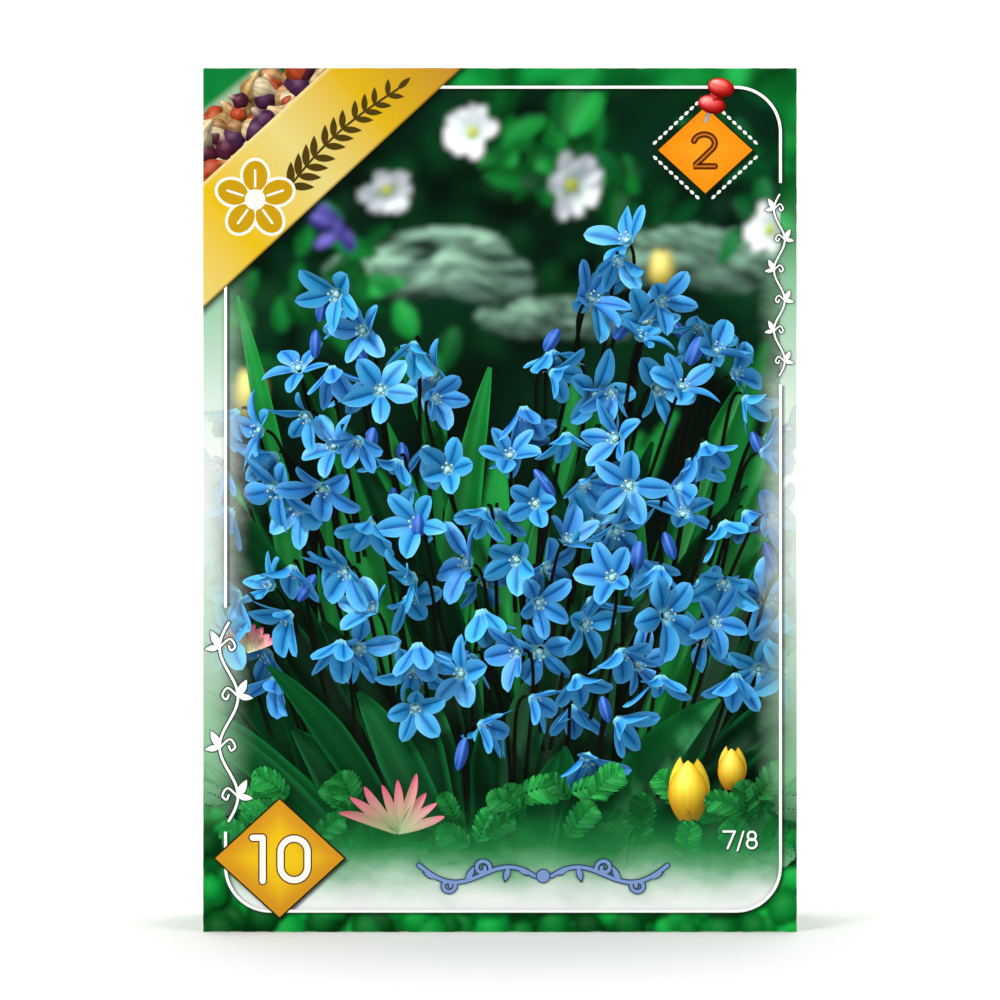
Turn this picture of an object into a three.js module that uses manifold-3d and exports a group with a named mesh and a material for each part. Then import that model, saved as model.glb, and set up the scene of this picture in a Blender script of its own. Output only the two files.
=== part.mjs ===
// A retail carton of ten squill bulbs: one folded sheet of paperboard with tucked ends, a clear film
// glued behind a window in the back panel, and the bulbs heaped loose inside. Millimetres, +Z up.
// The origin is the centre of the footprint, and the picture panel faces -Y.
import * as THREE from "three";
import { mergeVertices } from "three/addons/utils/BufferGeometryUtils.js";
import Module from "manifold-3d";

const wasm = await Module();
wasm.setup();

// Driving dimensions of the carton
const WIDTH = 110;
const HEIGHT = 160;
const DEPTH = 30;
const BOARD = 0.6; // thickness of the board
const SLIT = 0.3; // clearance between board and board where nothing is glued
const FOLD_RADIUS = 1.1; // outside radius of a crease
const TONGUE_LENGTH = 14; // how far an end panel tucks down behind the front panel
const TONGUE_CHAMFER = 5;
const DUST_FLAP_LENGTH = 40;
const GLUE_TAB_WIDTH = 10;
const SEAM_WIDTH = 0.3; // the open line where the back panel's raw edge meets the side panel
const SEAM_DEPTH = 0.3;

// Window in the back panel and the film behind it
const WINDOW = { width: 76, bottom: 12, top: 64, radius: 7 };
const FILM_OVERLAP = 4.5; // glued margin round the window
const FILM_THICKNESS = 0.4;
const GLUE_LINE = 0.1;

// Small breathing holes through both side panels
const VENT_DIAMETER = 6.4;
const VENT_PITCH = 14;
const VENT_ROWS = { low: { first: 18, count: 3 }, high: { first: 114, count: 2 } };

// Bulbs of 7 to 8 cm girth
const BULB_COUNT = 10;
const GIRTH = { least: 71, most: 79 };
const BULB_SEED = 7;
const BULB_CLEARANCE = 0.3;
const BULB_SIDES = 16;
const BULB_RINGS = 10;
const NOSE_LENGTH = 0.3; // of the bulb's radius
const PLATE_LATITUDE = THREE.MathUtils.degToRad(-62); // where the round body ends in its flat basal plate

// Places worked out from the dimensions above
const frontFace = -DEPTH / 2;
const backFace = DEPTH / 2;
const innerHalfWidth = WIDTH / 2 - BOARD;
const tongueFront = frontFace + BOARD + SLIT;
const tongueBack = tongueFront + BOARD;
const filmBack = backFace - BOARD - GLUE_LINE;
const filmFront = filmBack - FILM_THICKNESS;
const flapLevel = BOARD + SLIT; // from an end of the carton to the dust flaps' outer face

// Closed three.js geometry to a manifold solid, and back
function solid(geometry) {
  const bare = geometry.index ? geometry.toNonIndexed() : geometry.clone();
  bare.deleteAttribute("normal");
  bare.deleteAttribute("uv");
  const merged = mergeVertices(bare, 1e-4);
  const mesh = new wasm.Mesh({
    numProp: 3,
    vertProperties: new Float32Array(merged.attributes.position.array),
    triVerts: new Uint32Array(merged.index.array),
  });
  return new wasm.Manifold(mesh);
}

function geometryOf(manifold) {
  const mesh = manifold.getMesh();
  const geometry = new THREE.BufferGeometry();
  geometry.setAttribute("position", new THREE.Float32BufferAttribute(mesh.vertProperties, 3));
  geometry.setIndex(new THREE.Uint32BufferAttribute(mesh.triVerts, 1));
  const flat = geometry.toNonIndexed();
  flat.computeVertexNormals();
  return flat;
}

// A box between two corners
function block([x0, y0, z0], [x1, y1, z1]) {
  const geometry = new THREE.BoxGeometry(x1 - x0, y1 - y0, z1 - z0);
  return geometry.translate((x0 + x1) / 2, (y0 + y1) / 2, (z0 + z1) / 2);
}

// A rectangle with round corners, centred on (cx, cy)
function roundedRectangle(cx, cy, width, height, radius) {
  const shape = new THREE.Shape();
  const dx = width / 2 - radius;
  const dy = height / 2 - radius;
  shape.absarc(cx + dx, cy - dy, radius, -Math.PI / 2, 0);
  shape.absarc(cx + dx, cy + dy, radius, 0, Math.PI / 2);
  shape.absarc(cx - dx, cy + dy, radius, Math.PI / 2, Math.PI);
  shape.absarc(cx - dx, cy - dy, radius, Math.PI, 1.5 * Math.PI);
  return shape;
}

// Extrusions whose drawing plane is turned: (x, y) drawn as (Y, Z) and pulled along +X,
// or drawn as (X, Z) and pulled along -Y
function pulledAlongX(shape, x0, x1) {
  const geometry = new THREE.ExtrudeGeometry(shape, { depth: x1 - x0, bevelEnabled: false, curveSegments: 4 });
  const turn = new THREE.Matrix4().makeBasis(
    new THREE.Vector3(0, 1, 0),
    new THREE.Vector3(0, 0, 1),
    new THREE.Vector3(1, 0, 0),
  );
  return geometry.applyMatrix4(turn).translate(x0, 0, 0);
}

function pulledAlongY(shape, y0, y1) {
  const geometry = new THREE.ExtrudeGeometry(shape, { depth: y1 - y0, bevelEnabled: false, curveSegments: 6 });
  const turn = new THREE.Matrix4().makeBasis(
    new THREE.Vector3(1, 0, 0),
    new THREE.Vector3(0, 0, 1),
    new THREE.Vector3(0, -1, 0),
  );
  return geometry.applyMatrix4(turn).translate(0, y1, 0);
}

// The four upright panels: a tube with round folds at its edges
function sleeve() {
  const outline = roundedRectangle(0, 0, WIDTH, DEPTH, FOLD_RADIUS);
  const inner = roundedRectangle(0, 0, WIDTH - 2 * BOARD, DEPTH - 2 * BOARD, FOLD_RADIUS - BOARD);
  outline.holes.push(inner);
  const tube = new THREE.ExtrudeGeometry(outline, { depth: HEIGHT, bevelEnabled: false, curveSegments: 4 });
  // The side and back panels stop short at the top, where the flaps and the end panel fold over
  const fold = HEIGHT - flapLevel - FOLD_RADIUS;
  const over = block([-WIDTH, frontFace + BOARD, fold], [WIDTH, DEPTH, HEIGHT + 1]);
  return solid(tube).subtract(solid(over));
}

// The top end panel, seen from the side: up the back panel, over, and down behind the front panel
function endPanel() {
  const r = FOLD_RADIUS;
  const legBottom = HEIGHT - flapLevel - r - 2;
  const profile = new THREE.Shape();
  profile.moveTo(backFace, legBottom);
  profile.lineTo(backFace, HEIGHT - r);
  profile.absarc(backFace - r, HEIGHT - r, r, 0, Math.PI / 2);
  profile.absarc(tongueFront + r, HEIGHT - r, r, Math.PI / 2, Math.PI);
  profile.lineTo(tongueFront, HEIGHT - TONGUE_LENGTH);
  profile.lineTo(tongueBack, HEIGHT - TONGUE_LENGTH);
  profile.absarc(tongueBack + r - BOARD, HEIGHT - r, r - BOARD, Math.PI, Math.PI / 2, true);
  profile.absarc(backFace - r, HEIGHT - r, r - BOARD, Math.PI / 2, 0, true);
  profile.lineTo(backFace - BOARD, legBottom);
  const half = WIDTH / 2 - SLIT;
  let panel = solid(pulledAlongX(profile, -half, half));
  // The tongue's lower corners are cut off, so that it slides in
  for (const side of [-1, 1]) {
    const corner = new THREE.Shape();
    const low = HEIGHT - TONGUE_LENGTH - 1;
    corner.moveTo(side * (half + 1), low);
    corner.lineTo(side * (half + 1), low + TONGUE_CHAMFER + 2);
    corner.lineTo(side * (half - TONGUE_CHAMFER), low);
    panel = panel.subtract(solid(pulledAlongY(corner, frontFace, tongueBack + SLIT)));
  }
  // Between the folds the end panel clears the dust flaps' creases at the side edges
  const edge = FOLD_RADIUS + SLIT;
  for (const side of [-1, 1]) {
    const x0 = side * (WIDTH / 2 - edge);
    const x1 = side * WIDTH;
    const cut = block(
      [Math.min(x0, x1), frontFace, legBottom - 1],
      [Math.max(x0, x1), backFace - FOLD_RADIUS - SLIT, HEIGHT - BOARD],
    );
    panel = panel.subtract(solid(cut));
  }
  return panel;
}

// The right-hand dust flap at the top, folded in from the side panel under the end panel
function dustFlap() {
  const r = FOLD_RADIUS;
  const level = HEIGHT - flapLevel;
  const legBottom = level - r - 2;
  const outer = WIDTH / 2;
  const profile = new THREE.Shape();
  profile.moveTo(outer, legBottom);
  profile.lineTo(outer, level - r);
  profile.absarc(outer - r, level - r, r, 0, Math.PI / 2);
  profile.lineTo(outer - DUST_FLAP_LENGTH, level);
  profile.lineTo(outer - DUST_FLAP_LENGTH, level - BOARD);
  profile.absarc(outer - r, level - r, r - BOARD, Math.PI / 2, 0, true);
  profile.lineTo(outer - BOARD, legBottom);
  const y0 = tongueBack + SLIT + FOLD_RADIUS / 2;
  const y1 = backFace - FOLD_RADIUS - SLIT;
  return solid(pulledAlongY(profile, y0, y1));
}

function windowHole() {
  const middle = (WINDOW.bottom + WINDOW.top) / 2;
  const shape = roundedRectangle(0, middle, WINDOW.width, WINDOW.top - WINDOW.bottom, WINDOW.radius);
  return solid(pulledAlongY(shape, backFace - 2 * BOARD, backFace + 1));
}

function vents() {
  const holes = [];
  for (const row of Object.values(VENT_ROWS)) {
    for (let i = 0; i < row.count; i++) {
      const drill = new THREE.CylinderGeometry(VENT_DIAMETER / 2, VENT_DIAMETER / 2, WIDTH + 2, 16);
      drill.rotateZ(Math.PI / 2).translate(0, 0, row.first + i * VENT_PITCH);
      holes.push(solid(drill));
    }
  }
  return wasm.Manifold.union(holes);
}

function carton() {
  let board = sleeve();
  const ends = [endPanel(), dustFlap(), dustFlap().mirror([1, 0, 0])];
  board = wasm.Manifold.union([board, ...ends]);
  // Both ends close alike: the lower half is the upper half turned over
  const upper = board.subtract(solid(block([-WIDTH, -DEPTH, -1], [WIDTH, DEPTH, HEIGHT / 2])));
  const lower = upper.mirror([0, 0, 1]).translate([0, 0, HEIGHT]);
  board = upper.add(lower);
  const tabEdge = -innerHalfWidth + GLUE_TAB_WIDTH;
  const tabEnd = TONGUE_LENGTH / 2;
  const tab = block(
    [-innerHalfWidth - BOARD / 2, backFace - 2 * BOARD, tabEnd],
    [tabEdge, backFace - BOARD / 2, HEIGHT - tabEnd],
  );
  const seamEdge = -WIDTH / 2 + FOLD_RADIUS;
  const seam = block(
    [seamEdge, backFace - SEAM_DEPTH, flapLevel + FOLD_RADIUS],
    [seamEdge + SEAM_WIDTH, backFace + 1, HEIGHT - flapLevel - FOLD_RADIUS],
  );
  board = board.add(solid(tab)).subtract(solid(seam));
  return geometryOf(board.subtract(windowHole()).subtract(vents()));
}

function windowFilm() {
  const middle = (WINDOW.bottom + WINDOW.top) / 2;
  const width = WINDOW.width + 2 * FILM_OVERLAP;
  const height = WINDOW.top - WINDOW.bottom + 2 * FILM_OVERLAP;
  const shape = roundedRectangle(0, middle, width, height, 1);
  return pulledAlongY(shape, filmFront, filmBack);
}

// Seeded random numbers from 0 to 1
function randomSource(seed) {
  let state = seed;
  return () => {
    state = (state * 1664525 + 1013904223) % 4294967296;
    return state / 4294967296;
  };
}

// Where the bulbs come to lie: each one goes to the lowest free place that rests on the floor, on a
// side wall or on two bulbs already there. They lie by turns against the front and the back, where the
// tucked tongue takes up some of the depth for the bottom row.
function seats() {
  const random = randomSource(BULB_SEED);
  const floor = flapLevel + BOARD + BULB_CLEARANCE;
  const wall = innerHalfWidth - BULB_CLEARANCE;
  const back = filmFront - BULB_CLEARANCE;
  const bottomRow = Math.floor((2 * wall * Math.PI) / GIRTH.most);
  const placed = [];
  for (let i = 0; i < BULB_COUNT; i++) {
    const girth = THREE.MathUtils.lerp(GIRTH.least, GIRTH.most, random());
    const radius = girth / (2 * Math.PI);
    const front = (i < bottomRow ? tongueBack : frontFace + BOARD) + BULB_CLEARANCE;
    const y = i % 2 ? front + radius : back - radius;
    const reach = (other) => {
      const between = radius + other.radius + BULB_CLEARANCE;
      return Math.sqrt(between ** 2 - (y - other.y) ** 2);
    };
    const free = (spot) =>
      Math.abs(spot.x) <= wall - radius + 1e-6 &&
      spot.z >= floor + radius - 1e-6 &&
      placed.every((other) => Math.hypot(spot.x - other.x, spot.z - other.z) >= reach(other) - 1e-6);
    const spots = [{ x: radius - wall, z: floor + radius }];
    for (const a of placed) {
      const drop = floor + radius - a.z;
      spots.push({ x: a.x + Math.sqrt(Math.max(0, reach(a) ** 2 - drop ** 2)), z: floor + radius });
      for (const side of [-1, 1]) {
        const x = side * (wall - radius);
        spots.push({ x, z: a.z + Math.sqrt(Math.max(0, reach(a) ** 2 - (x - a.x) ** 2)) });
      }
      for (const b of placed) {
        const dx = b.x - a.x;
        const dz = b.z - a.z;
        const apart = Math.hypot(dx, dz);
        if (a === b || apart > reach(a) + reach(b)) continue;
        const along = (reach(a) ** 2 - reach(b) ** 2 + apart ** 2) / (2 * apart);
        const up = Math.sqrt(Math.max(0, reach(a) ** 2 - along ** 2));
        spots.push({
          x: a.x + (dx * along - dz * up) / apart,
          z: a.z + (dz * along + dx * up) / apart,
        });
      }
    }
    const lowest = spots.filter(free).sort((p, q) => p.z - q.z || p.x - q.x)[0];
    placed.push({ ...lowest, y, radius });
  }
  return placed;
}

// Each bulb's nose points to where it has the most room among its neighbours and the walls
function withNoses(placed) {
  const tips = [];
  for (const bulb of placed) {
    const reach = bulb.radius * (1 + NOSE_LENGTH);
    let best = { room: -Infinity };
    for (let turn = 0; turn < 36; turn++) {
      const angle = (turn / 36) * 2 * Math.PI;
      const x = bulb.x + reach * Math.cos(angle);
      const z = bulb.z + reach * Math.sin(angle);
      const others = placed.filter((other) => other !== bulb);
      const room = Math.min(
        innerHalfWidth - Math.abs(x),
        z - flapLevel - BOARD,
        ...others.map((other) => Math.hypot(x - other.x, z - other.z) - other.radius),
        ...tips.map((tip) => Math.hypot(x - tip.x, z - tip.z) / 2),
      );
      // Of two equal places the more upright one is taken
      const score = room + 0.5 * Math.sin(angle);
      if (score > best.room) best = { room: score, angle, x, z };
    }
    tips.push({ x: best.x, z: best.z });
    bulb.angle = best.angle;
  }
  return placed;
}

// A bulb of radius 1 standing on its basal plate: a round body that draws up into a short nose
function bulbProfile() {
  const points = [new THREE.Vector2(0, 0.95 * Math.sin(PLATE_LATITUDE))];
  for (let i = 0; i < BULB_RINGS; i++) {
    const latitude = THREE.MathUtils.lerp(PLATE_LATITUDE, Math.PI / 2, i / BULB_RINGS);
    const rise = Math.max(0, Math.sin(latitude));
    const radius = Math.cos(latitude) * (1 - 0.35 * rise ** 4);
    const height = 0.95 * Math.sin(latitude) + NOSE_LENGTH * rise ** 6;
    points.push(new THREE.Vector2(radius, height));
  }
  points.push(new THREE.Vector2(0, 0.95 + NOSE_LENGTH));
  return points;
}

function bulb({ x, y, z, radius, angle }) {
  const geometry = new THREE.LatheGeometry(bulbProfile(), BULB_SIDES);
  geometry.rotateX(Math.PI / 2);
  const mesh = new THREE.Mesh(geometryOf(solid(geometry)), bulbSkin);
  mesh.scale.setScalar(radius);
  mesh.rotation.y = Math.PI / 2 - angle;
  mesh.position.set(x, y, z);
  return mesh;
}

const printedBoard = new THREE.MeshStandardMaterial({ color: 0x1f8a45, roughness: 0.35, metalness: 0 });
const clearFilm = new THREE.MeshStandardMaterial({
  color: 0xe8f2f2,
  roughness: 0.08,
  metalness: 0,
  transparent: true,
  opacity: 0.25,
});
const bulbSkin = new THREE.MeshStandardMaterial({ color: 0x5b3040, roughness: 0.5, metalness: 0 });

function named(name, mesh) {
  mesh.name = name;
  return mesh;
}

const pack = new THREE.Group();
pack.add(named("carton", new THREE.Mesh(carton(), printedBoard)));
pack.add(named("window_film", new THREE.Mesh(windowFilm(), clearFilm)));
withNoses(seats()).forEach((seat, i) => {
  pack.add(named(`bulb_${String(i + 1).padStart(2, "0")}`, bulb(seat)));
});

export default pack;
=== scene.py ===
"""A carton of flower bulbs, finished: the printed front with its picture of blue flowers, the print and
raw edges of the board, the film in the back window and the bulbs behind it.

Lengths are in millimetres up to the moment a mesh is made, which is in metres. As the front is seen, x
runs to the right, z up from the carton's foot, and y from the viewer into the carton.
"""

import math

import bmesh
import bpy
import numpy as np
from mathutils import Matrix, Vector


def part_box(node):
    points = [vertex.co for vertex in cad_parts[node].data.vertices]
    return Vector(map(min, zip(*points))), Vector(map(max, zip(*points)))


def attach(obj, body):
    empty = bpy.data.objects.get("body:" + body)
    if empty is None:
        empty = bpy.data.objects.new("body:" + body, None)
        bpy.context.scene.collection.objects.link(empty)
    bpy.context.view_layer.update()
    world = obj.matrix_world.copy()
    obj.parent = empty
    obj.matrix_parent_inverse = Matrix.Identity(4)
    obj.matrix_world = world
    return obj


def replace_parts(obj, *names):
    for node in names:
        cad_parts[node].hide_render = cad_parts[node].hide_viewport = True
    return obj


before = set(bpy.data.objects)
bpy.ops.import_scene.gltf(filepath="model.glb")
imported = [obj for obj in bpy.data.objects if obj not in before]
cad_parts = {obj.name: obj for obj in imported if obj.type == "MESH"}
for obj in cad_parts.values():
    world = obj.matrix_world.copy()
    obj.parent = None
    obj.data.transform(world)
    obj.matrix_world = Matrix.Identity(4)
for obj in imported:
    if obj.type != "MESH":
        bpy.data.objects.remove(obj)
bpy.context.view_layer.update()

MM = 0.001
SEED = 20

# The carton's faces, from its part in model.glb
carton_low, carton_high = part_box("carton")
SIDE = carton_high.x / MM
TOP = carton_high.z / MM
FRONT = carton_low.y / MM
BACK = carton_high.y / MM

# The front's layout
FRAME_LINE = {
    "left": -SIDE + 4.2,
    "right": SIDE - 3.1,
    "foot": 3.9,
    "head": TOP - 3.6,
    "radius": 8.3,
    "width": 0.54,
}
BAND = [(-SIDE, 138.7), (-31.9, TOP), (-7.0, TOP), (-SIDE, 115.5)]
BREAKS = {"left": (18.4, 60.3), "right": (101.2, 138.9)}
SMALL_DIAMOND = {"x": 38.0, "z": 144.75, "half_width": 8.7, "half_height": 8.0}
LARGE_DIAMOND = {"x": -40.8, "z": 13.7, "half_width": 11.9, "half_height": 10.9}
ROSETTE = (-45.3, 135.6)
FLOURISH = (8.0, 10.4)
WINDOW = {"z": 38.0, "half_width": 38.0, "half_height": 26.0}  # in the back
SHADE = "#06140A"  # of the shadows that are part of the print

# How far each layer of the print stands out of the board. The picture is a shallow relief.
GROUND_RISE = 0.03
PICTURE_RISE = (0.08, 0.36)
GRAPHICS_RISE = 0.38
LAYER_STEP = 0.028
SHAPE_STEP = 0.0005  # between shapes of one ink, which may overlap
BACK_RISE, BACK_STEP = 0.04, 0.02  # of the print on the back, whose layers lie closer

# The picture's own space: the nearest and the farthest y in it, where its light comes from and how bright
# the light and the sky are
PICTURE_NEAR, PICTURE_DEPTH = -9.0, 70.0
LIGHT = np.array([-0.42, -0.70, 0.58])
LIGHT /= np.linalg.norm(LIGHT)
AMBIENT, SUN = 0.46, 0.90
SKY = np.array([0.92, 1.0, 1.08])
SHINE_POWER = 14
CONTRAST = 1.2

# How things darken those behind them in the picture: how wide round them, over what depth and how much
OCCLUSION = ((1.5, 9, 0.66), (5.0, 26, 0.80))

# The grid over the front on which canvases are painted and depths are kept: a cell's size, and how many
CELL = 0.43
COLUMNS, ROWS = int(2 * SIDE / CELL) + 1, int(TOP / CELL) + 1


def linear(tone):
    """An sRGB colour such as '#4E93E0' as linear numbers, which come back as they are."""
    if not isinstance(tone, str):
        return tone
    value = np.array([int(tone[i : i + 2], 16) / 255 for i in (1, 3, 5)])
    return np.where(value <= 0.04045, value / 12.92, ((value + 0.055) / 1.055) ** 2.4)


def smooth(low, high, value):
    """0 below low and 1 above high, with a smooth rise between them. It falls if low is the higher."""
    t = np.clip((value - low) / (high - low), 0, 1)
    return t * t * (3 - 2 * t)


def blend(a, b, share):
    """Colour a where share is 0 and b where it is 1."""
    share = np.asarray(share)[..., None]
    return linear(a) * (1 - share) + linear(b) * share


def unit(direction):
    """One direction at length 1."""
    return direction / np.linalg.norm(direction)


def units(directions):
    """Many directions, each at length 1."""
    return directions / np.maximum(np.linalg.norm(directions, axis=1, keepdims=True), 1e-9)


def turned_by(flat, angle):
    """Points of x and z turned by an angle from +x towards +z."""
    c, n = math.cos(angle), math.sin(angle)
    return flat @ np.array([[c, n], [-n, c]])


def random_of(order):
    """The random numbers of one part of the scene."""
    return np.random.default_rng(SEED + order)


def canvas_places(edge=0.0):
    """The x and z of every point of the grid."""
    across = np.linspace(-SIDE + edge, SIDE - edge, COLUMNS)
    return np.meshgrid(across, np.linspace(edge, TOP - edge, ROWS))


def linked(name, data):
    """A new object in the scene."""
    thing = bpy.data.objects.new(name, data)
    bpy.context.scene.collection.objects.link(thing)
    return thing


# ---------------------------------------------------------------------------------------------------
# Shader maths


def added_node(tree, kind, settings, values):
    """A new node with its settings, and with a number, a colour or a link on each named socket."""
    made = tree.nodes.new(kind)
    for key, value in (settings or {}).items():
        setattr(made, key, value)
    for key, value in (values or {}).items():
        socket, value = made.inputs[key], getattr(value, "socket", value)
        if isinstance(value, bpy.types.NodeSocket):
            tree.links.new(value, socket)
        elif socket.type == "RGBA":
            socket.default_value = (*linear(value), 1.0)
        else:
            socket.default_value = value
    return made


class Value:
    """A socket of a node tree, on which arithmetic adds Math nodes."""

    def __init__(self, sheet, socket):
        self.sheet = sheet
        self.socket = socket

    def maths(self, operation, *others):
        """A Math node on this value and others."""
        numbers = dict(enumerate((self, *others)))
        return self.sheet.node("ShaderNodeMath", {"operation": operation}, numbers)

    def __add__(self, other):
        return self.maths("ADD", other)

    __radd__ = __add__

    def __sub__(self, other):
        return self.maths("SUBTRACT", other)

    def __rsub__(self, other):
        return (self * -1).maths("ADD", other)

    def __mul__(self, other):
        return self.maths("MULTIPLY", other)

    __rmul__ = __mul__

    def __truediv__(self, other):
        return self.maths("DIVIDE", other)

    def __abs__(self):
        return self.maths("ABSOLUTE")

    def least(self, other):
        """The lower of two."""
        return self.maths("MINIMUM", other)

    def most(self, other):
        """The higher of two."""
        return self.maths("MAXIMUM", other)

    def over(self, limit):
        """1 above a limit and 0 below it."""
        return self.maths("GREATER_THAN", limit)

    def root(self):
        """The square root."""
        return self.maths("SQRT")

    def ramp(self, low, high):
        """0 below low and 1 above high, with a smooth rise between them."""
        settings = {"interpolation_type": "SMOOTHSTEP"}
        values = {"Value": self, "From Min": low, "From Max": high}
        return self.sheet.node("ShaderNodeMapRange", settings, values)


class Sheet:
    """A material, whose node tree is written as expressions on Values."""

    def __init__(self, name):
        self.material = bpy.data.materials.new(name)
        self.material.use_nodes = True
        self.tree = self.material.node_tree
        self.tree.nodes.clear()

    def node(self, kind, settings=None, values=None, output=0):
        """What a new node gives, or None if it is an end."""
        made = added_node(self.tree, kind, settings, values)
        return Value(self, made.outputs[output]) if len(made.outputs) else None

    def place(self):
        """x, y and z on the object, in millimetres."""
        place = {0: self.node("ShaderNodeTexCoord", output="Object")}
        return [self.node("ShaderNodeSeparateXYZ", None, place, axis) * (1 / MM) for axis in "XYZ"]

    def vector(self, x, y, z):
        """Three values as one vector."""
        return self.node("ShaderNodeCombineXYZ", None, {0: x, 1: y, 2: z})

    def noise(self, place, detail, roughness=0.55, scale=1.0, distortion=0.0):
        """Cloudy noise from 0 to 1, of so many blots to a distance of 1 in place."""
        values = {"Vector": self.vector(*place), "Scale": scale, "Detail": detail}
        values.update(Roughness=roughness, Distortion=distortion)
        return self.node("ShaderNodeTexNoise", None, values)

    def cells(self, place, output="Distance"):
        """The distance to the nearest of many scattered spots, or that spot's own colour."""
        values = {"Vector": self.vector(*place), "Scale": 1.0, "Randomness": 1.0}
        return self.node("ShaderNodeTexVoronoi", {"feature": "F1"}, values, output)

    def mix(self, share, a, b, how="MIX"):
        """Colour a where share is 0 and b where it is 1."""
        settings = {"data_type": "RGBA", "blend_type": how}
        return self.node("ShaderNodeMix", settings, {0: share, 6: a, 7: b}, 2)

    def colours(self, share, stops):
        """A run of colours along share, from pairs of a place and a colour."""
        ramp = self.tree.nodes.new("ShaderNodeValToRGB")
        elements = ramp.color_ramp.elements
        while len(elements) < len(stops):
            elements.new(0.5)
        for element, (at, colour) in zip(elements, stops):
            element.position = at
            element.color = (*linear(colour), 1.0)
        self.tree.links.new(share.socket, ramp.inputs[0])
        return Value(self, ramp.outputs[0])

    def attribute(self, name):
        """The colours that a mesh carries under a name."""
        return self.node("ShaderNodeAttribute", {"attribute_name": name}, output="Color")

    def toned(self, colour, tone):
        """A colour times a grey tone."""
        return self.mix(1.0, colour, self.vector(tone, tone, tone), "MULTIPLY")

    def bump(self, height, strength, distance):
        """The normal of a surface with relief, whose full height is a distance."""
        values = {"Strength": strength, "Distance": distance * MM, "Height": height}
        return self.node("ShaderNodeBump", None, values)

    def surface(self, **values):
        """The material itself, once its surface has these values."""
        named = {key.replace("_", " "): value for key, value in values.items()}
        shader = self.node("ShaderNodeBsdfPrincipled", None, named)
        self.node("ShaderNodeOutputMaterial", None, {"Surface": shader})
        return self.material


# ---------------------------------------------------------------------------------------------------
# Meshes


def give(mesh, name, values, kind="FLOAT", key="value"):
    """Gives every point of a mesh a value of its own, under a name."""
    layer = mesh.attributes.new(name, kind, "POINT")
    number = np.int32 if kind == "INT" else np.float32
    layer.data.foreach_set(key, np.asarray(values).astype(number).ravel())


def give_inks(mesh, name, inks):
    """Gives every point of a mesh a colour of its own."""
    give(mesh, name, np.concatenate([inks, np.ones((len(inks), 1))], 1), "FLOAT_COLOR", "color")


def made_mesh(name, points, faces, inks=None, uv=None, smooth_faces=False):
    """A mesh from points in millimetres, with the ink of each point and the map of each face corner."""
    mesh = bpy.data.meshes.new(name)
    mesh.from_pydata((np.asarray(points) * MM).tolist(), [], np.asarray(faces).tolist())
    if inks is not None:
        give_inks(mesh, "ink", inks)
    if uv is not None:
        layer = mesh.uv_layers.new(name="OFBake")
        layer.uv.foreach_set("vector", np.asarray(uv, np.float32).ravel())
    if smooth_faces:
        mesh.shade_smooth()
    mesh.update()
    return mesh


def piece(name, mesh, material, body="root"):
    """Puts a finished mesh on the part."""
    thing = linked(name, mesh)
    mesh.materials.clear()
    mesh.materials.append(material)
    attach(thing, body)
    return thing


def grid_faces(rows, columns, start=0):
    """The quads of a grid of points, which are numbered row by row."""
    corner = start + np.arange(rows - 1)[:, None] * columns + np.arange(columns - 1)
    corner = corner.ravel()
    return np.stack([corner, corner + 1, corner + columns + 1, corner + columns], 1)


def squared_disc(count):
    """A grid of points on a disc of radius 1, with no pole."""
    line = np.linspace(-1, 1, count)
    u, v = np.meshgrid(line, line)
    return u * np.sqrt(1 - v * v / 2), v * np.sqrt(1 - u * u / 2)


class Patches:
    """Grids of points in the picture's space, with the paint of each point, drawn one by one."""

    def __init__(self):
        self.points, self.paint, self.faces, self.maps = [], [], [], []
        self.count = 0

    def add(self, points, paint):
        """Adds a grid of points and their paint."""
        rows, columns = points.shape[:2]
        paint = np.broadcast_to(paint, points.shape)
        self.points.append(points.reshape(-1, 3))
        self.paint.append(paint.reshape(-1, 3))
        self.faces.append(grid_faces(rows, columns, self.count))
        across, along = np.meshgrid(np.linspace(0, 1, columns), np.linspace(0, 1, rows))
        self.maps.append(np.stack([across, along], 2).reshape(-1, 2))
        self.count += rows * columns

    def drawn(self, **finish):
        """All the patches as one part of the picture, each with its own cell on the map."""
        side = math.ceil(math.sqrt(len(self.points)))
        cells = [
            (np.array([i % side, i // side]) + 0.06 + 0.88 * local) / side
            for i, local in enumerate(self.maps)
        ]
        faces = np.concatenate(self.faces)
        uv = np.concatenate(cells)[faces.ravel()]
        return Drawn(np.concatenate(self.points), faces, np.concatenate(self.paint), uv, **finish)


class Drawn:
    """A part of the picture before it is printed: its faces, their paint and how they take light."""

    def __init__(self, points, faces, paint, uv, gloss=0.1, through=0.25, samples=3):
        self.points, self.faces, self.paint, self.uv = points, faces, paint, uv
        self.gloss, self.through, self.samples = gloss, through, samples

    def scattered(self, values):
        """The values of the points, at places spread evenly over the faces."""
        steps = (np.arange(self.samples) + 0.5) / self.samples
        a, b, c, d = (values[self.faces[:, k]] for k in range(4))
        spread = [
            (a * (1 - u) + b * u) * (1 - v) + (d * (1 - u) + c * u) * v for u in steps for v in steps
        ]
        return np.concatenate(spread)

    def normals(self):
        """The directions that the points face, turned to the viewer."""
        a, b, c, d = (self.points[self.faces[:, k]] for k in range(4))
        flat = np.cross(c - a, d - b)
        total = np.zeros_like(self.points)
        for k in range(4):
            np.add.at(total, self.faces[:, k], flat)
        total = units(total)
        return np.where(total[:, 1:2] > 0, -total, total)


def cell_of(x, z):
    """The row and column of the grid over the front that a place falls in."""
    column = np.clip((x + SIDE) / CELL, 0, COLUMNS - 1).astype(int)
    row = np.clip(z / CELL, 0, ROWS - 1).astype(int)
    return row, column


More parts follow.
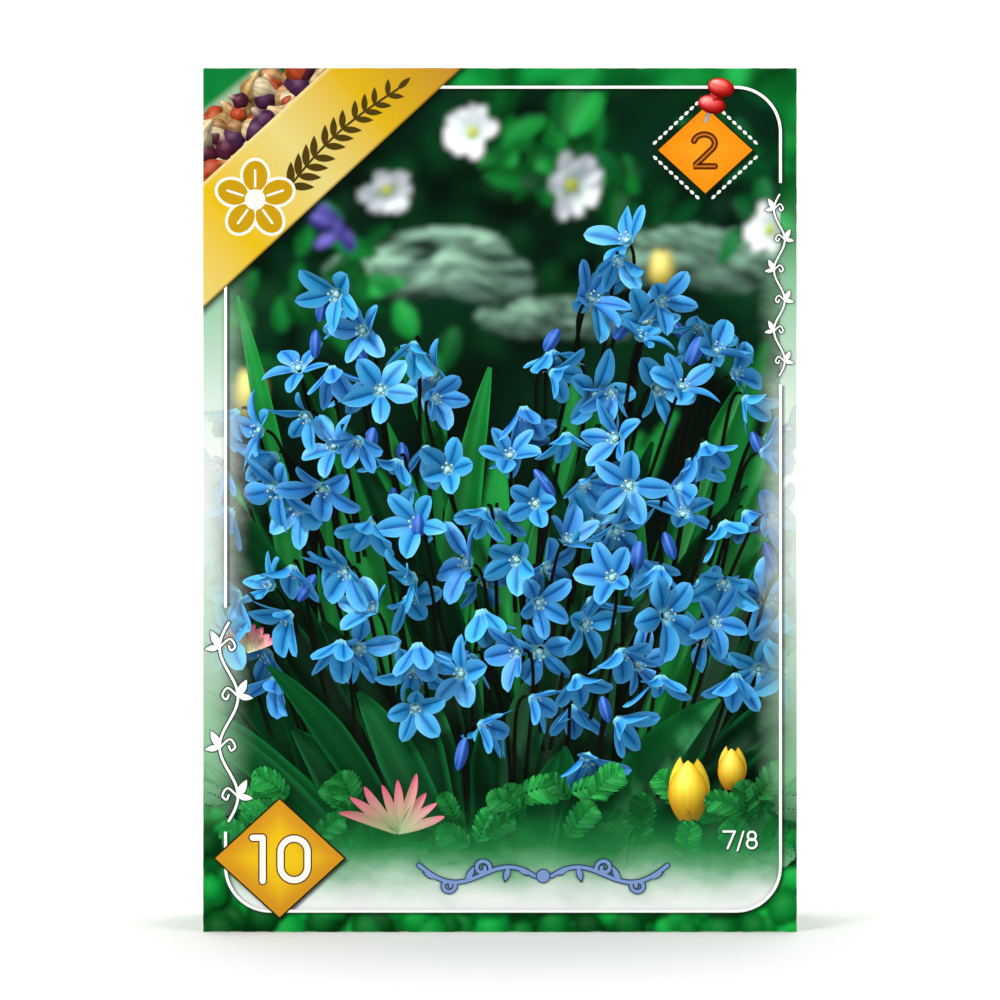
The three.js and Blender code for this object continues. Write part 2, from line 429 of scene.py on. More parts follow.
def blurred(field, reach):
    """A field on the grid averaged over a square, twice."""
    steps = int(round(reach / CELL))
    width = 2 * steps + 1
    for _ in range(2):
        for axis in (0, 1):
            margin = [(0, 0)] * field.ndim
            margin[axis] = (steps + 1, steps)
            total = np.cumsum(np.pad(field, margin, "edge"), axis)
            size = total.shape[axis]
            low = np.take(total, np.arange(size - width), axis)
            high = np.take(total, np.arange(width, size), axis)
            field = (high - low) / width
    return field


def softened(field):
    """A field on the grid with the steps of its cells taken off."""
    field = np.pad(field, ((1, 1), (1, 1), (0, 0)), "edge")
    field = (field[:-2] + 2 * field[1:-1] + field[2:]) / 4
    return (field[:, :-2] + 2 * field[:, 1:-1] + field[:, 2:]) / 4


class Depths:
    """How deep the nearest thing lies, over the whole front."""

    def __init__(self, parts):
        self.nearest = np.full((ROWS, COLUMNS), PICTURE_DEPTH)
        for part in parts:
            spread = part.scattered(part.points)
            np.minimum.at(self.nearest, cell_of(spread[:, 0], spread[:, 2]), spread[:, 1])
        self.levels = [blurred(self.nearest, width) for width, _, _ in OCCLUSION]

    def openness(self, points):
        """How much of the sky a point sees: less where its surroundings stand nearer the viewer."""
        cell = cell_of(points[:, 0], points[:, 2])
        seen = 1.0
        for level, (_, depth, darkest) in zip(self.levels, OCCLUSION):
            seen = seen * (1 - darkest * np.clip((points[:, 1] - level[cell]) / depth, 0, 1))
        return seen

    def shade(self, points, reach=13.0, steps=16, thickness=7.0, enough=3, darkest=0.80):
        """The share of the light that comes past whatever stands between a point and the light.

        It is looked for in steps over a reach. Things are taken to have a thickness, and a point is in
        full shade once so many steps are enough.
        """
        blocked = np.zeros(len(points))
        for step in np.linspace(0.9, reach, steps):
            x, y, z = (points + LIGHT * step).T
            ahead = y - self.nearest[cell_of(x, z)]
            blocked += (ahead > 0.5) & (ahead < thickness)
        return 1 - darkest * np.clip(blocked / enough, 0, 1)


def lit(part, depths):
    """The inks of a part: its paint in the picture's own light."""
    normal = part.normals()
    slope = normal @ LIGHT
    half = unit(LIGHT + np.array([0, -1.0, 0]))
    open_sky = depths.openness(part.points)
    sun = depths.shade(part.points) * (np.clip(slope, 0, 1) + part.through * np.clip(-slope, 0, 1))
    shine = part.gloss * np.clip(normal @ half, 0, 1) ** SHINE_POWER * sun
    light = AMBIENT * open_sky[:, None] * SKY + SUN * sun[:, None]
    return np.clip(part.paint * light + shine[:, None], 0, 1) ** CONTRAST


def painted_over(canvas, part, blur):
    """The canvas with a part painted on it as the lens sees it, out of focus by blur."""
    spread = part.scattered(part.points)
    inks = part.scattered(lit(part, Depths([part])))
    order = np.argsort(-spread[:, 1], kind="stable")
    cell = cell_of(spread[order, 0], spread[order, 2])
    image, cover = np.zeros((ROWS, COLUMNS, 3)), np.zeros((ROWS, COLUMNS, 1))
    image[cell] = inks[order]
    cover[cell] = 1
    return canvas * (1 - blurred(cover, blur)) + blurred(image * cover, blur)


def pressed(points, rise=PICTURE_RISE, reach=(PICTURE_NEAR, PICTURE_DEPTH)):
    """The picture's points pressed flat into the relief on the front panel."""
    low, high = rise
    depth = np.clip((points[:, 1] - reach[0]) / (reach[1] - reach[0]), 0, 1)
    sunk = 0.08 + 0.92 * smooth(8, 19, points[:, 2])
    flat = points.copy()
    flat[:, 1] = FRONT - GROUND_RISE - (high + (low - high) * depth - GROUND_RISE) * sunk
    return flat


# ---------------------------------------------------------------------------------------------------
# Geometry Nodes


class Tree:
    """A Geometry Nodes tree with named inputs."""

    def __init__(self, name, **inputs):
        self.group = bpy.data.node_groups.new(name, "GeometryNodeTree")
        face = self.group.interface
        face.new_socket("Geometry", in_out="INPUT", socket_type="NodeSocketGeometry")
        for label, kind in inputs.items():
            face.new_socket(label.replace("_", " "), in_out="INPUT", socket_type=kind)
        face.new_socket("Geometry", in_out="OUTPUT", socket_type="NodeSocketGeometry")
        self.start = self.group.nodes.new("NodeGroupInput")
        self.end = self.group.nodes.new("NodeGroupOutput")

    def input(self, label):
        """What comes in under a name."""
        return self.start.outputs[label]

    def node(self, kind, settings=None, values=None, output=0):
        """What a new node gives."""
        return added_node(self.group, kind, settings, values).outputs[output]

    def finish(self, geometry):
        """Ends in real faces that wear the tree's material."""
        real = self.node("GeometryNodeRealizeInstances", None, {"Geometry": geometry})
        worn = self.node("GeometryNodeSetMaterial", None, {0: real, "Material": self.input("Material")})
        self.group.links.new(worn, self.end.inputs[0])


def grown(mesh, tree, **values):
    """The plain mesh that a tree makes of a mesh."""
    holder = linked("holder", mesh)
    modifier = holder.modifiers.new("tree", "NODES")
    modifier.node_group = tree.group
    for item in tree.group.interface.items_tree:
        label = item.name.replace(" ", "_")
        if item.in_out == "INPUT" and label in values:
            modifier[item.identifier] = values[label]
    shown = holder.evaluated_get(bpy.context.evaluated_depsgraph_get())
    result = bpy.data.meshes.new_from_object(shown)
    bpy.data.objects.remove(holder)
    return result


def strewing_tree():
    """Copies of one shape set on a cloud of points, each turned and sized as its point says."""
    tree = Tree("strewn", Shape="NodeSocketObject", Material="NodeSocketMaterial")
    shape = tree.node("GeometryNodeObjectInfo", None, {"Object": tree.input("Shape")}, "Geometry")
    named = "GeometryNodeInputNamedAttribute"
    turn = tree.node(named, {"data_type": "FLOAT_VECTOR"}, {"Name": "turn"})
    rotation = tree.node("FunctionNodeEulerToRotation", None, {0: turn})
    size = tree.node(named, {"data_type": "FLOAT"}, {"Name": "size"})
    values = {"Points": tree.input("Geometry"), "Instance": shape, "Rotation": rotation, "Scale": size}
    tree.finish(tree.node("GeometryNodeInstanceOnPoints", None, values))
    return tree


STREWN = strewing_tree()


def strewn(shape, spots, turns, sizes, material=None):
    """Copies of a mesh set on spots by Geometry Nodes. Its attribute 'copy' numbers them."""
    cloud = bpy.data.meshes.new("spots")
    cloud.from_pydata((np.asarray(spots) * MM).tolist(), [], [])
    give(cloud, "turn", turns, "FLOAT_VECTOR", "vector")
    give(cloud, "size", np.broadcast_to(sizes, len(spots)))
    give(cloud, "copy", np.arange(len(spots)), "INT")
    prototype = linked("prototype", shape)
    values = {"Shape": prototype}
    if material:
        values["Material"] = material
    result = grown(cloud, STREWN, **values)
    bpy.data.objects.remove(prototype)
    return result


def numbers(mesh, name):
    """The numbers that the points of a mesh carry under a name."""
    found = np.zeros(len(mesh.vertices))
    mesh.attributes[name].data.foreach_get("value", found)
    return found


def points_of(mesh):
    """The points of a mesh, in millimetres."""
    found = np.zeros(len(mesh.vertices) * 3)
    mesh.vertices.foreach_get("co", found)
    return found.reshape(-1, 3) / MM


def quads_of(mesh):
    """The faces of a mesh that has nothing but quads."""
    found = np.zeros(len(mesh.loops), int)
    mesh.loops.foreach_get("vertex_index", found)
    return found.reshape(-1, 4)


def turn_to(direction, roll):
    """The Euler turn that points a shape's own z along a direction."""
    turn = Vector(direction).to_track_quat("Z", "Y") @ Matrix.Rotation(roll, 3, "Z").to_quaternion()
    return tuple(turn.to_euler())


# ---------------------------------------------------------------------------------------------------
# The inks of the front


def outside_frame(x, z):
    """How far outside the frame line a place is, in millimetres, and negative inside it."""
    line = FRAME_LINE
    half_x = (line["right"] - line["left"]) / 2 - line["radius"]
    half_z = (line["head"] - line["foot"]) / 2 - line["radius"]
    out_x = abs(x - (line["right"] + line["left"]) / 2) - half_x
    out_z = abs(z - (line["head"] + line["foot"]) / 2) - half_z
    corner = (out_x.most(0) * out_x.most(0) + out_z.most(0) * out_z.most(0)).root()
    return corner + out_x.most(out_z).least(0) - line["radius"]


def heap_head(x):
    """The height of the upper edge of the corner's heap."""
    return (x + SIDE) * 0.8 + 150


def side_mist(z):
    """How white the mist at the sides is, by height."""
    return z.ramp(18, 98) * (1 - z.ramp(72, 128))


# The mist at the foot, from the place where it is white to the one where it is gone
FOOT_MIST = [
    (0.22, "#FFFFFF"),
    (0.31, "#E4F0E7"),
    (0.42, "#ABCFB4"),
    (0.52, "#6DAE80"),
    (0.66, "#2A8C4B"),
    (0.95, "#0F6A36"),
]


def mist(sheet, x, z):
    """How much the picture fades into pale mist, and the mist's colour."""
    drift = sheet.noise((x * 0.09, 3.0, z * 0.13), 3.0) - 0.5
    ends = z.ramp(15, 30) * (1 - z.ramp(122, 140))
    left = 1 - (x + drift * 6).ramp(-55.0, -45.0)
    right = (x + drift * 6).ramp(47.0, 56.0)
    side = left.most(right) * ends
    side_colour = sheet.mix(side_mist(z), "#7FB88C", "#FBFCFC")
    height = z + drift * 7
    foot = 1 - height.ramp(9.0, 27.0)
    foot_colour = sheet.colours(height * (1 / 24), FOOT_MIST)
    return side.most(foot), sheet.mix(foot.over(side), side_colour, foot_colour)


def right_of(x, z, start, end):
    """How far a place lies to the right of a line, as seen along it from its start to its end."""
    (x0, z0), (x1, z1) = start, end
    return ((x - x0) * (z1 - z0) - (z - z0) * (x1 - x0)) / math.hypot(x1 - x0, z1 - z0)


def diamond_reach(x, z, diamond, off=0.0):
    """How far out in a diamond a place is: 1 on its edges. The diamond may be moved right and down."""
    across = abs(x - diamond["x"] - off) / diamond["half_width"]
    return across + abs(z - diamond["z"] + off) / diamond["half_height"]


def cast_shade(x, z):
    """The soft shadows that the band, the diamonds and the frame line are printed with."""
    below = right_of(x, z, BAND[3], BAND[2])
    shade = (1 - below.ramp(0.0, 1.7)) * below.over(-4)
    for diamond in (SMALL_DIAMOND, LARGE_DIAMOND):
        shade = shade.most(1 - diamond_reach(x, z, diamond, 0.5).ramp(0.97, 1.08))
    line = 1 - abs(outside_frame(x - 0.35, z + 0.35)).ramp(0.15, 0.75)
    left, right = (z.over(low) * (high - z).over(0) for low, high in BREAKS.values())
    gaps = (left * (0 - x).over(40)).most(right * x.over(40))
    return (shade * 0.8).most(line * (1 - gaps) * 0.6)


def inked(sheet, colour, gloss=0.0):
    """Ink on coated board: faint press grain, a satin coat and rubbed edges."""
    x, _, z = place = sheet.place()
    grain = sheet.noise(place, 1.0, scale=6)
    cloud = sheet.noise(place, 2.0, scale=0.3)
    colour = sheet.toned(colour, grain * 0.08 + 0.96)
    edge = (SIDE - abs(x)).least(z).least(TOP - z)
    rubbed = (1 - edge.ramp(0.0, 0.22)) * (cloud * 1.6 - 0.35).ramp(0.35, 0.6)
    colour = sheet.mix(rubbed * 0.5, colour, "#E9E7DE")
    return sheet.surface(
        Base_Color=colour,
        Roughness=cloud * 0.12 + 0.32 + rubbed * 0.3,
        Specular_IOR_Level=0.03,
        Coat_Weight=gloss,
        Coat_Roughness=0.20,
        Normal=sheet.bump(grain, 0.10, 0.02),
    )


def ground_ink():
    """The sheet under the picture: garden inside the frame line, green border and mist round it."""
    sheet = Sheet("ground_ink")
    x, _, z = sheet.place()
    share, pale = mist(sheet, x, z)
    border = sheet.attribute("border")
    outside = outside_frame(x, z).ramp(-0.2, 0.2)
    picture = sheet.mix(share, sheet.attribute("ink"), sheet.mix(0.14, pale, border))
    ends = z.ramp(17, 38) * (1 - z.ramp(116, 138))
    border = sheet.mix(ends, border, sheet.mix(side_mist(z), "#84BC92", "#FDFDFE"))
    above = z - heap_head(x)
    border = sheet.mix(above.ramp(-2, 0) * 0.7, border, "#0C7E36")
    glow = above.ramp(-1.5, 0) * (1 - above.ramp(0.6, 3.2))
    border = sheet.mix(glow * 0.6, border, "#C4DEC6")
    colour = sheet.mix(outside, picture, border)
    return inked(sheet, sheet.mix(cast_shade(x, z), colour, SHADE))


def picture_ink(name):
    """A part of the picture: its own inks under the mist and the printed shadows."""
    sheet = Sheet(name)
    x, _, z = sheet.place()
    share, pale = mist(sheet, x, z)
    pale = sheet.mix(0.14, pale, sheet.attribute("border"))
    colour = sheet.mix(share, sheet.attribute("ink"), pale)
    return inked(sheet, sheet.mix(cast_shade(x, z), colour, SHADE))


def plain_ink(name, colour):
    """One colour."""
    return inked(Sheet(name), colour)


def point_ink(name):
    """The inks that the points of a mesh carry, with nothing over them."""
    sheet = Sheet(name)
    return inked(sheet, sheet.attribute("ink"))


GOLD = [(0.00, "#E1CC78"), (0.24, "#E0B60C"), (0.50, "#DFCC7C"), (0.74, "#D6AC16"), (1.00, "#BA862A")]


def gold_ink():
    """The band's gold, which runs from light to dark and back along it."""
    sheet = Sheet("gold_ink")
    x, _, z = sheet.place()
    (x0, z0), (x1, z1) = (-58.0, 118.0), (-9.0, 161.0)
    length = math.hypot(x1 - x0, z1 - z0)
    along = ((x - x0) * (x1 - x0) + (z - z0) * (z1 - z0)) / length**2
    colour = sheet.colours(along, GOLD)
    below = right_of(x, z, BAND[0], BAND[1])
    colour = sheet.mix((1 - below.ramp(0.1, 0.9)) * 0.55, colour, "#EFE2B0")
    above = right_of(x, z, BAND[2], BAND[3])
    colour = sheet.mix((1 - above.ramp(0.05, 0.55)) * 0.8, colour, "#6A4A08")
    return inked(sheet, colour, 0.1)


def diamond_ink(name, diamond, middle, outer):
    """A diamond's fill, which darkens from its middle to its edges."""
    sheet = Sheet(name)
    x, _, z = sheet.place()
    colour = sheet.mix(diamond_reach(x, z, diamond).ramp(0.25, 1.0), middle, outer)
    return inked(sheet, colour, 0.1)


# ---------------------------------------------------------------------------------------------------
# Line art


def ribbon(route, width, closed=False, round_ends=True):
    """A flat strip along a route of x and z, as rows of two points each."""
    route = np.asarray(route, float)
    widths = np.broadcast_to(width, len(route)).astype(float)
    if closed:
        route = np.vstack([route, route[:1]])
        widths = np.append(widths, widths[0])
        ahead = np.roll(route[:-1], -1, 0) - np.roll(route[:-1], 1, 0)
        ahead = np.vstack([ahead, ahead[:1]])
    else:
        if round_ends:
            turn = np.array([90, 60, 35, 12]) * math.pi / 180
            for _ in range(2):
                tip = unit(route[0] - route[1])
                cap = route[0] + tip * (widths[0] / 2 * np.sin(turn))[:, None]
                widths = np.concatenate([np.maximum(widths[0] * np.cos(turn), 0.02), widths])[::-1]
                route = np.vstack([cap, route])[::-1]
        ahead = np.gradient(route, axis=0)
    ahead = units(ahead)
    side = np.stack([-ahead[:, 1], ahead[:, 0]], 1) * widths[:, None] / 2
    return np.stack([route - side, route + side], 1)


def polished(points, count):
    """A smooth line through the given points."""
    points = np.asarray(points, float)
    knots = np.arange(len(points))
    ends = np.vstack([2 * points[0] - points[1], points, 2 * points[-1] - points[-2]])
    share = np.linspace(0, len(points) - 1, count)
    i = np.minimum(share.astype(int), len(points) - 2)
    t = (share - knots[i])[:, None]
    a, b, c, d = ends[i], ends[i + 1], ends[i + 2], ends[i + 3]
    bend, twist = 2 * a - 5 * b + 4 * c - d, 3 * b - a - 3 * c + d
    return 0.5 * (2 * b + (c - a) * t + bend * t**2 + twist * t**3)


def arc(x, z, radius_x, radius_z, start, end, count=18):
    """Part of an ellipse, by angles in degrees from +x towards +z."""
    angle = np.radians(np.linspace(start, end, count))
    return np.stack([x + radius_x * np.cos(angle), z + radius_z * np.sin(angle)], 1)


class Art:
    """Flat shapes of one ink, at one height over the board: on the front, or on the back if face is 1."""

    def __init__(self, rise, face=-1):
        self.rise, self.face = rise, face
        self.points, self.lifts, self.faces, self.count = [], [], [], 0

    def strip(self, rows):
        """A band between two lines, from rows of two points each."""
        rows = np.asarray(rows)
        self.stack(rows.reshape(-1, 2), grid_faces(*rows.shape[:2], self.count).tolist())

    def line(self, route, width, **ends):
        """A stroke along a route."""
        self.strip(ribbon(route, width, **ends))

    def fan(self, outline, middle=None):
        """A filled shape, star-shaped about its middle."""
        outline = np.asarray(outline, float)
        middle = outline.mean(0) if middle is None else np.asarray(middle)
        n, c = len(outline), self.count
        self.stack(np.vstack([middle, outline]), [(c, c + 1 + (k + 1) % n, c + 1 + k) for k in range(n)])

    def disc(self, x, z, radius, count):
        """A filled circle."""
        self.fan(arc(x, z, radius, radius, 0, 360, count)[:-1])

    def stack(self, points, faces):
        """Adds a shape, a little higher than the last one."""
        self.lifts.append(np.full(len(points), self.rise + len(self.lifts) * SHAPE_STEP))
        self.points.append(points)
        self.faces += faces
        self.count += len(points)

    def mesh(self, name):
        """The shapes as one mesh, all facing away from the board."""
        flat = np.concatenate(self.points) * [-self.face, 1]
        lift = np.concatenate(self.lifts)
        y = FRONT - lift if self.face < 0 else BACK + lift
        points = np.stack([flat[:, 0], y, flat[:, 1]], 1)
        mesh = bpy.data.meshes.new(name)
        mesh.from_pydata((points * MM).tolist(), [], [list(reversed(f)) for f in self.faces])
        low = flat.min(0) - 0.2
        size = (flat.max(0) - low).max() + 0.2
        corners = np.zeros(len(mesh.loops), int)
        mesh.loops.foreach_get("vertex_index", corners)
        layer = mesh.uv_layers.new(name="OFBake")
        layer.uv.foreach_set("vector", ((flat[corners] - low) / size).astype(np.float32).ravel())
        mesh.update()
        work = bmesh.new()
        work.from_mesh(mesh)
        turned = [face for face in work.faces if face.normal.y * self.face < 0]
        bmesh.ops.reverse_faces(work, faces=turned)
        work.to_mesh(mesh)
        work.free()
        return mesh

    def put(self, name, ink):
        """The shapes as a piece of the print, in a material or in one plain tone."""
        if isinstance(ink, str):
            ink = plain_ink(f"{name}_ink", ink)
        return piece(f"print_{name}", self.mesh(name), ink)


def front_layer(order):
    """Shapes for one layer of the print on the front."""
    return Art(GRAPHICS_RISE + order * LAYER_STEP)


def back_layer(order):
    """Shapes for one layer of the print on the back."""
    return Art(BACK_RISE + BACK_STEP * order, 1)


def frame_routes():
    """The frame line's three runs, broken where the vines stand."""
    line = FRAME_LINE
    left, right, foot, head, r = (line[k] for k in ("left", "right", "foot", "head", "radius"))
    left_foot = arc(left + r, foot + r, r, r, 180, 270)
    right_foot = arc(right - r, foot + r, r, r, 270, 360)
    right_head = arc(right - r, head - r, r, r, 0, 90)
    (low_left, high_left), (low_right, high_right) = BREAKS.values()
    yield [(left, high_left), (left, 90.0), (left, 120.0)]
    yield [(left, low_left), *left_foot, *right_foot, (right, low_right)]
    yield [(right, high_right), *right_head, (-14.0, head)]


def leaf_outline(x, z, length, width, heading):
    """A pointed leaf from its foot, with its heading in degrees from +x."""
    s = np.linspace(0, 1, 9)
    half = width / 2 * np.sin(np.pi * s**0.85) ** 0.9
    outline = np.concatenate([np.stack([s * length, half], 1), np.stack([s * length, -half], 1)[-2:0:-1]])
    return turned_by(outline, math.radians(heading)) + [x, z]


CURL = ((0.0, 0.0), (1.1, 0.9), (1.7, 0.1), (1.25, -0.35), (1.0, 0.15))


def vine(art, low, high, x, sway, leaf, width, extra=0.0):
    """A climbing stem that swings about x, with a leaf at each turn and a curl at its top."""
    z = np.linspace(low, high, 90)
    swings = max(round((high - low) / (sway * 5.2)), 2)
    phase = (z - low) / (high - low) * swings * math.pi
    stem = np.stack([x + sway * np.sin(phase), z], 1)
    art.line(stem, width + extra)
    grow = extra * 0.55
    for k in range(swings):
        at = np.argmin(abs(phase - (k + 0.5) * math.pi))
        out = 1 if k % 2 == 0 else -1
        px, pz = stem[at]
        for heading, size in ((62, 1.0), (-8, 0.8)):
            angle = heading if out > 0 else 180 - heading
            foot = (px - grow * math.cos(math.radians(angle)), pz - grow * math.sin(math.radians(angle)))
            art.fan(leaf_outline(*foot, leaf * size + 2 * grow, leaf * size * 0.42 + extra, angle))
        curl = [(px - out * sway * back, pz + sway * up) for back, up in CURL]
        art.line(polished(curl, 22), width * 0.8 + extra)


def digit_routes(kind, x, z, width, height):
    """A digit's strokes in a box that is centred on x and z."""
    w, h = width / 2, height / 2
    if kind == "0":
        side = h - w
        run = [arc(x, z + side, w, w, 0, 180), arc(x, z - side, w, w, 180, 360)]
        return [(np.vstack(run), True)]
    if kind == "1":
        return [([(x - w, z + h), (x + w * 0.6, z + h), (x + w * 0.6, z - h)], False)]
    if kind == "2":
        bow = arc(x, z + h * 0.45, w, h * 0.55, 165, -38, 20)
        foot = polished([bow[-1], (x - w * 0.25, z - h * 0.55), (x - w, z - h)], 12)
        return [(np.vstack([bow, foot[1:], [(x + w, z - h)]]), False)]
    if kind == "7":
        return [([(x - w, z + h), (x + w, z + h), (x - w * 0.25, z - h)], False)]
    if kind == "8":
        head = arc(x, z + h * 0.48, w * 0.82, h * 0.50, 0, 360, 24)[:-1]
        foot = arc(x, z - h * 0.45, w, h * 0.55, 0, 360, 24)[:-1]
        return [(head, True), (foot, True)]
    if kind == "/":
        return [([(x + w, z + h), (x - w, z - h * 1.15)], False)]
    raise ValueError(kind)


def digit(art, kind, place, size, width):
    """A digit in strokes of one width. One with corners is drawn side by side, to keep them sharp."""
    for route, closed in digit_routes(kind, *place, *size):
        if kind in "17/":
            for ends in zip(route, route[1:]):
                art.line(ends, width)
        else:
            art.line(route, width, closed=closed, round_ends=not closed)


def diamond_outline(diamond, grow=0.0):
    """The corners of a diamond, from its head to the right."""
    x, z = diamond["x"], diamond["z"]
    w, h = diamond["half_width"] + grow * 1.4, diamond["half_height"] + grow * 1.4
    return [(x, z + h), (x + w, z), (x, z - h), (x - w, z)]


def rosette(art, x, z, inner, outer, petals=5, turn=90.0, grow=0.0):
    """Round petals set in a ring, each a filled loop."""
    for k in range(petals):
        heading = math.radians(turn + 360 * k / petals)
        middle = (inner + outer) / 2
        px, pz = x + middle * math.cos(heading), z + middle * math.sin(heading)
        loop = arc(0, 0, (outer - inner) / 2 + grow, (outer - inner) * 0.40 + grow, 0, 360, 26)[:-1]
        art.fan(turned_by(loop, heading) + [px, pz])


def print_frame_line():
    """The white line round the picture and the vines in its two breaks."""
    shadow, line = front_layer(-1), front_layer(0)
    for route in frame_routes():
        line.line(route, FRAME_LINE["width"])
    left, right = FRAME_LINE["left"], FRAME_LINE["right"]
    for art, extra in ((shadow, 0.42), (line, 0.0)):
        low, high = BREAKS["left"]
        vine(art, low + 2.2, high - 3.0, left + 0.6, 1.7, 3.5, 0.50, extra)
        low, high = BREAKS["right"]
        vine(art, low + 1.8, high - 2.4, right - 0.2, 1.0, 2.2, 0.34, extra * 0.7)
    shadow.put("line_shadow", "#1C3A26")
    line.put("frame_line", "#FCFDFB")


def print_band():
    """The gold band over a corner, its rosette and its sprig."""
    band, edge, fill, veins, eye, sprig = (front_layer(k) for k in (1, 2, 3, 4, 4, 2))
    band.fan([(max(x, -SIDE + 0.02), min(z, TOP - 0.02)) for x, z in BAND])
    band.put("gold_band", gold_ink())
    x, z = ROSETTE
    rosette(edge, x, z, 1.5, 7.2, grow=0.55)
    rosette(fill, x, z, 1.5, 7.2)
    for k in range(5):
        heading = math.radians(90 + 72 * k)
        veins.line([(x + r * math.cos(heading), z + r * math.sin(heading)) for r in (2.4, 5.4)], 0.42)
    eye.disc(x, z, 1.9, 28)
    edge.put("rosette_edge", "#FFFBE6")
    fill.put("rosette_fill", "#C4970F")
    veins.put("rosette_veins", "#FFFBE6")
    eye.put("rosette_eye", "#FFFBE6")
    heading = math.degrees(math.atan2(BAND[1][1] - BAND[0][1], BAND[1][0] - BAND[0][0]))
    along = np.array([math.cos(math.radians(heading)), math.sin(math.radians(heading))])
    away = np.array([-along[1], along[0]])
    start = np.array([-38.0, 134.0])
    s = np.linspace(0, 1, 40)
    stem = start + along * (s * 29)[:, None] + away * (3.2 + 1.6 * np.sin(s * 3.1))[:, None]
    sprig.line(stem, 0.42)
    for at in np.linspace(3, 36, 11).astype(int):
        size = 4.6 * (1.0 - 0.35 * s[at])
        for side in (-1, 1):
            sprig.fan(leaf_outline(*stem[at], size, size * 0.34, heading + side * 46))
    sprig.fan(leaf_outline(*stem[-1], 3.2, 1.1, heading))
    sprig.put("band_sprig", "#4A3A10")


def print_diamonds():
    """The two diamonds with their numbers, and the bulbs' grade."""
    edges, small, large, dark, light, core = (front_layer(k) for k in (1, 2, 2, 3, 4, 4))
    edges.fan(diamond_outline(SMALL_DIAMOND, 0.28))
    edges.fan(diamond_outline(LARGE_DIAMOND, 0.30))
    edges.put("diamond_edges", "#1E2410")
    small.fan(diamond_outline(SMALL_DIAMOND))
    large.fan(diamond_outline(LARGE_DIAMOND))
    small.put("small_diamond", diamond_ink("orange_ink", SMALL_DIAMOND, "#F1971C", "#ED8B0D"))
    large.put("large_diamond", diamond_ink("amber_ink", LARGE_DIAMOND, "#EFC314", "#D3911C"))
    for art, width in ((dark, 1.65), (light, 1.15)):
        digit(art, "1", (-44.6, 13.5), (2.3, 8.0), width)
        digit(art, "0", (-38.1, 13.5), (5.0, 7.7), width)
    for art, width in ((dark, 1.2), (core, 0.34)):
        digit(art, "2", (37.8, 144.7), (3.9, 5.9), width)
    core.put("small_digit", "#C06A18")
    dark.put("digit_edges", "#5A2A0A")
    light.put("digits", "#FFF8EC")
    edge, white = front_layer(0), front_layer(1)
    for art, extra, off in ((edge, 0.22, 0.12), (white, 0.0, 0.0)):
        digit(art, "7", (42.4 + off, 17.1 - off), (2.1, 3.1), 0.42 + extra)
        digit(art, "/", (44.5 + off, 17.0 - off), (1.1, 3.3), 0.36 + extra)
        digit(art, "8", (46.6 + off, 17.1 - off), (1.8, 3.1), 0.42 + extra)
    edge.put("grade_edges", "#17331F")
    white.put("grade", "#FAFCF7")


def print_dotted_ring():
    """Short white dashes along the small diamond's sides, laid by Geometry Nodes."""
    places, turns = [], []
    outline = diamond_outline(SMALL_DIAMOND, 1.5)
    for (x0, z0), (x1, z1) in zip(outline, outline[1:] + outline[:1]):
        heading = math.atan2(z1 - z0, x1 - x0)
        for share in np.linspace(0.14, 0.86, 9):
            places.append((x0 + (x1 - x0) * share, FRONT - GRAPHICS_RISE, z0 + (z1 - z0) * share))
            turns.append((0, -heading, 0))
    dash = Art(0)
    dash.fan(leaf_outline(-0.55, 0, 1.1, 0.62, 0))
    shape = dash.mesh("dash")
    for vertex in shape.vertices:
        vertex.co.y = 0
    ink = plain_ink("dash_ink", "#EEF4EC")
    piece("print_dashes", strewn(shape, places, turns, 1.0, ink), ink)


def print_flourish():
    """Scrollwork in blue at the foot: a wave with a curl on each side and small leaves."""
    dark, light = front_layer(0), front_layer(1)
    middle, z = FLOURISH
    s = np.linspace(0, 1, 70)
    wave = np.stack([1.6 + 21.4 * s, 1.65 * np.sin(2 * np.pi * s**0.92) + 2.0 * s**4], 1)
    curls = []
    for centre, radius, start, turn in (((11.3, 1.5), 1.55, 205, -400), ((17.6, -1.75), 1.4, 155, 400)):
        angle = np.radians(start + turn * s)
        reach = (radius * (1 - 0.68 * s))[:, None]
        curls.append(np.array(centre) + reach * np.stack([np.cos(angle), np.sin(angle)], 1))
    leaves = ((4.6, 1.4, 2.6, 205), (14.2, -0.9, 3.0, 118), (19.6, -0.3, 2.6, 20), (6.4, 1.6, 2.6, 285))
    for art, extra in ((dark, 0.42), (light, 0.0)):
        for hand in (-1, 1):
            for route in [wave] + curls:
                art.line(route * [hand, 1] + [middle, z], 0.62 + extra)
            for x, dz, length, heading in leaves:
                angle = heading if hand > 0 else 180 - heading
                art.fan(leaf_outline(middle + hand * x, z + dz, length + extra, 1.0 + extra, angle))
        art.disc(middle, z, 1.15 + extra / 2, 24)
    dark.put("flourish_edge", "#2B3F66")
    light.put("flourish", "#7C98C8")


# ---------------------------------------------------------------------------------------------------
# The picture's flowers and leaves

PETAL_ROWS = 12
PETAL_ACROSS = np.array([-1, -0.82, -0.6, -0.38, -0.15, 0, 0.15, 0.38, 0.6, 0.82, 1])
PETAL_COUNT = 5
PART_PETAL, PART_EYE, PART_STAMEN = 0, 1, 2


def ripple(random, x, z, size, count=9):
    """Cloudy noise about 0, from a few waves with random headings."""
    total = 0
    for _ in range(count):
        heading, phase = random.uniform(0, 2 * math.pi, 2)
        pitch = size * random.uniform(0.6, 1.7)
        along = x * math.cos(heading) + z * math.sin(heading)
        total = total + np.sin(along * 2 * math.pi / pitch + phase)
    return total / math.sqrt(count)


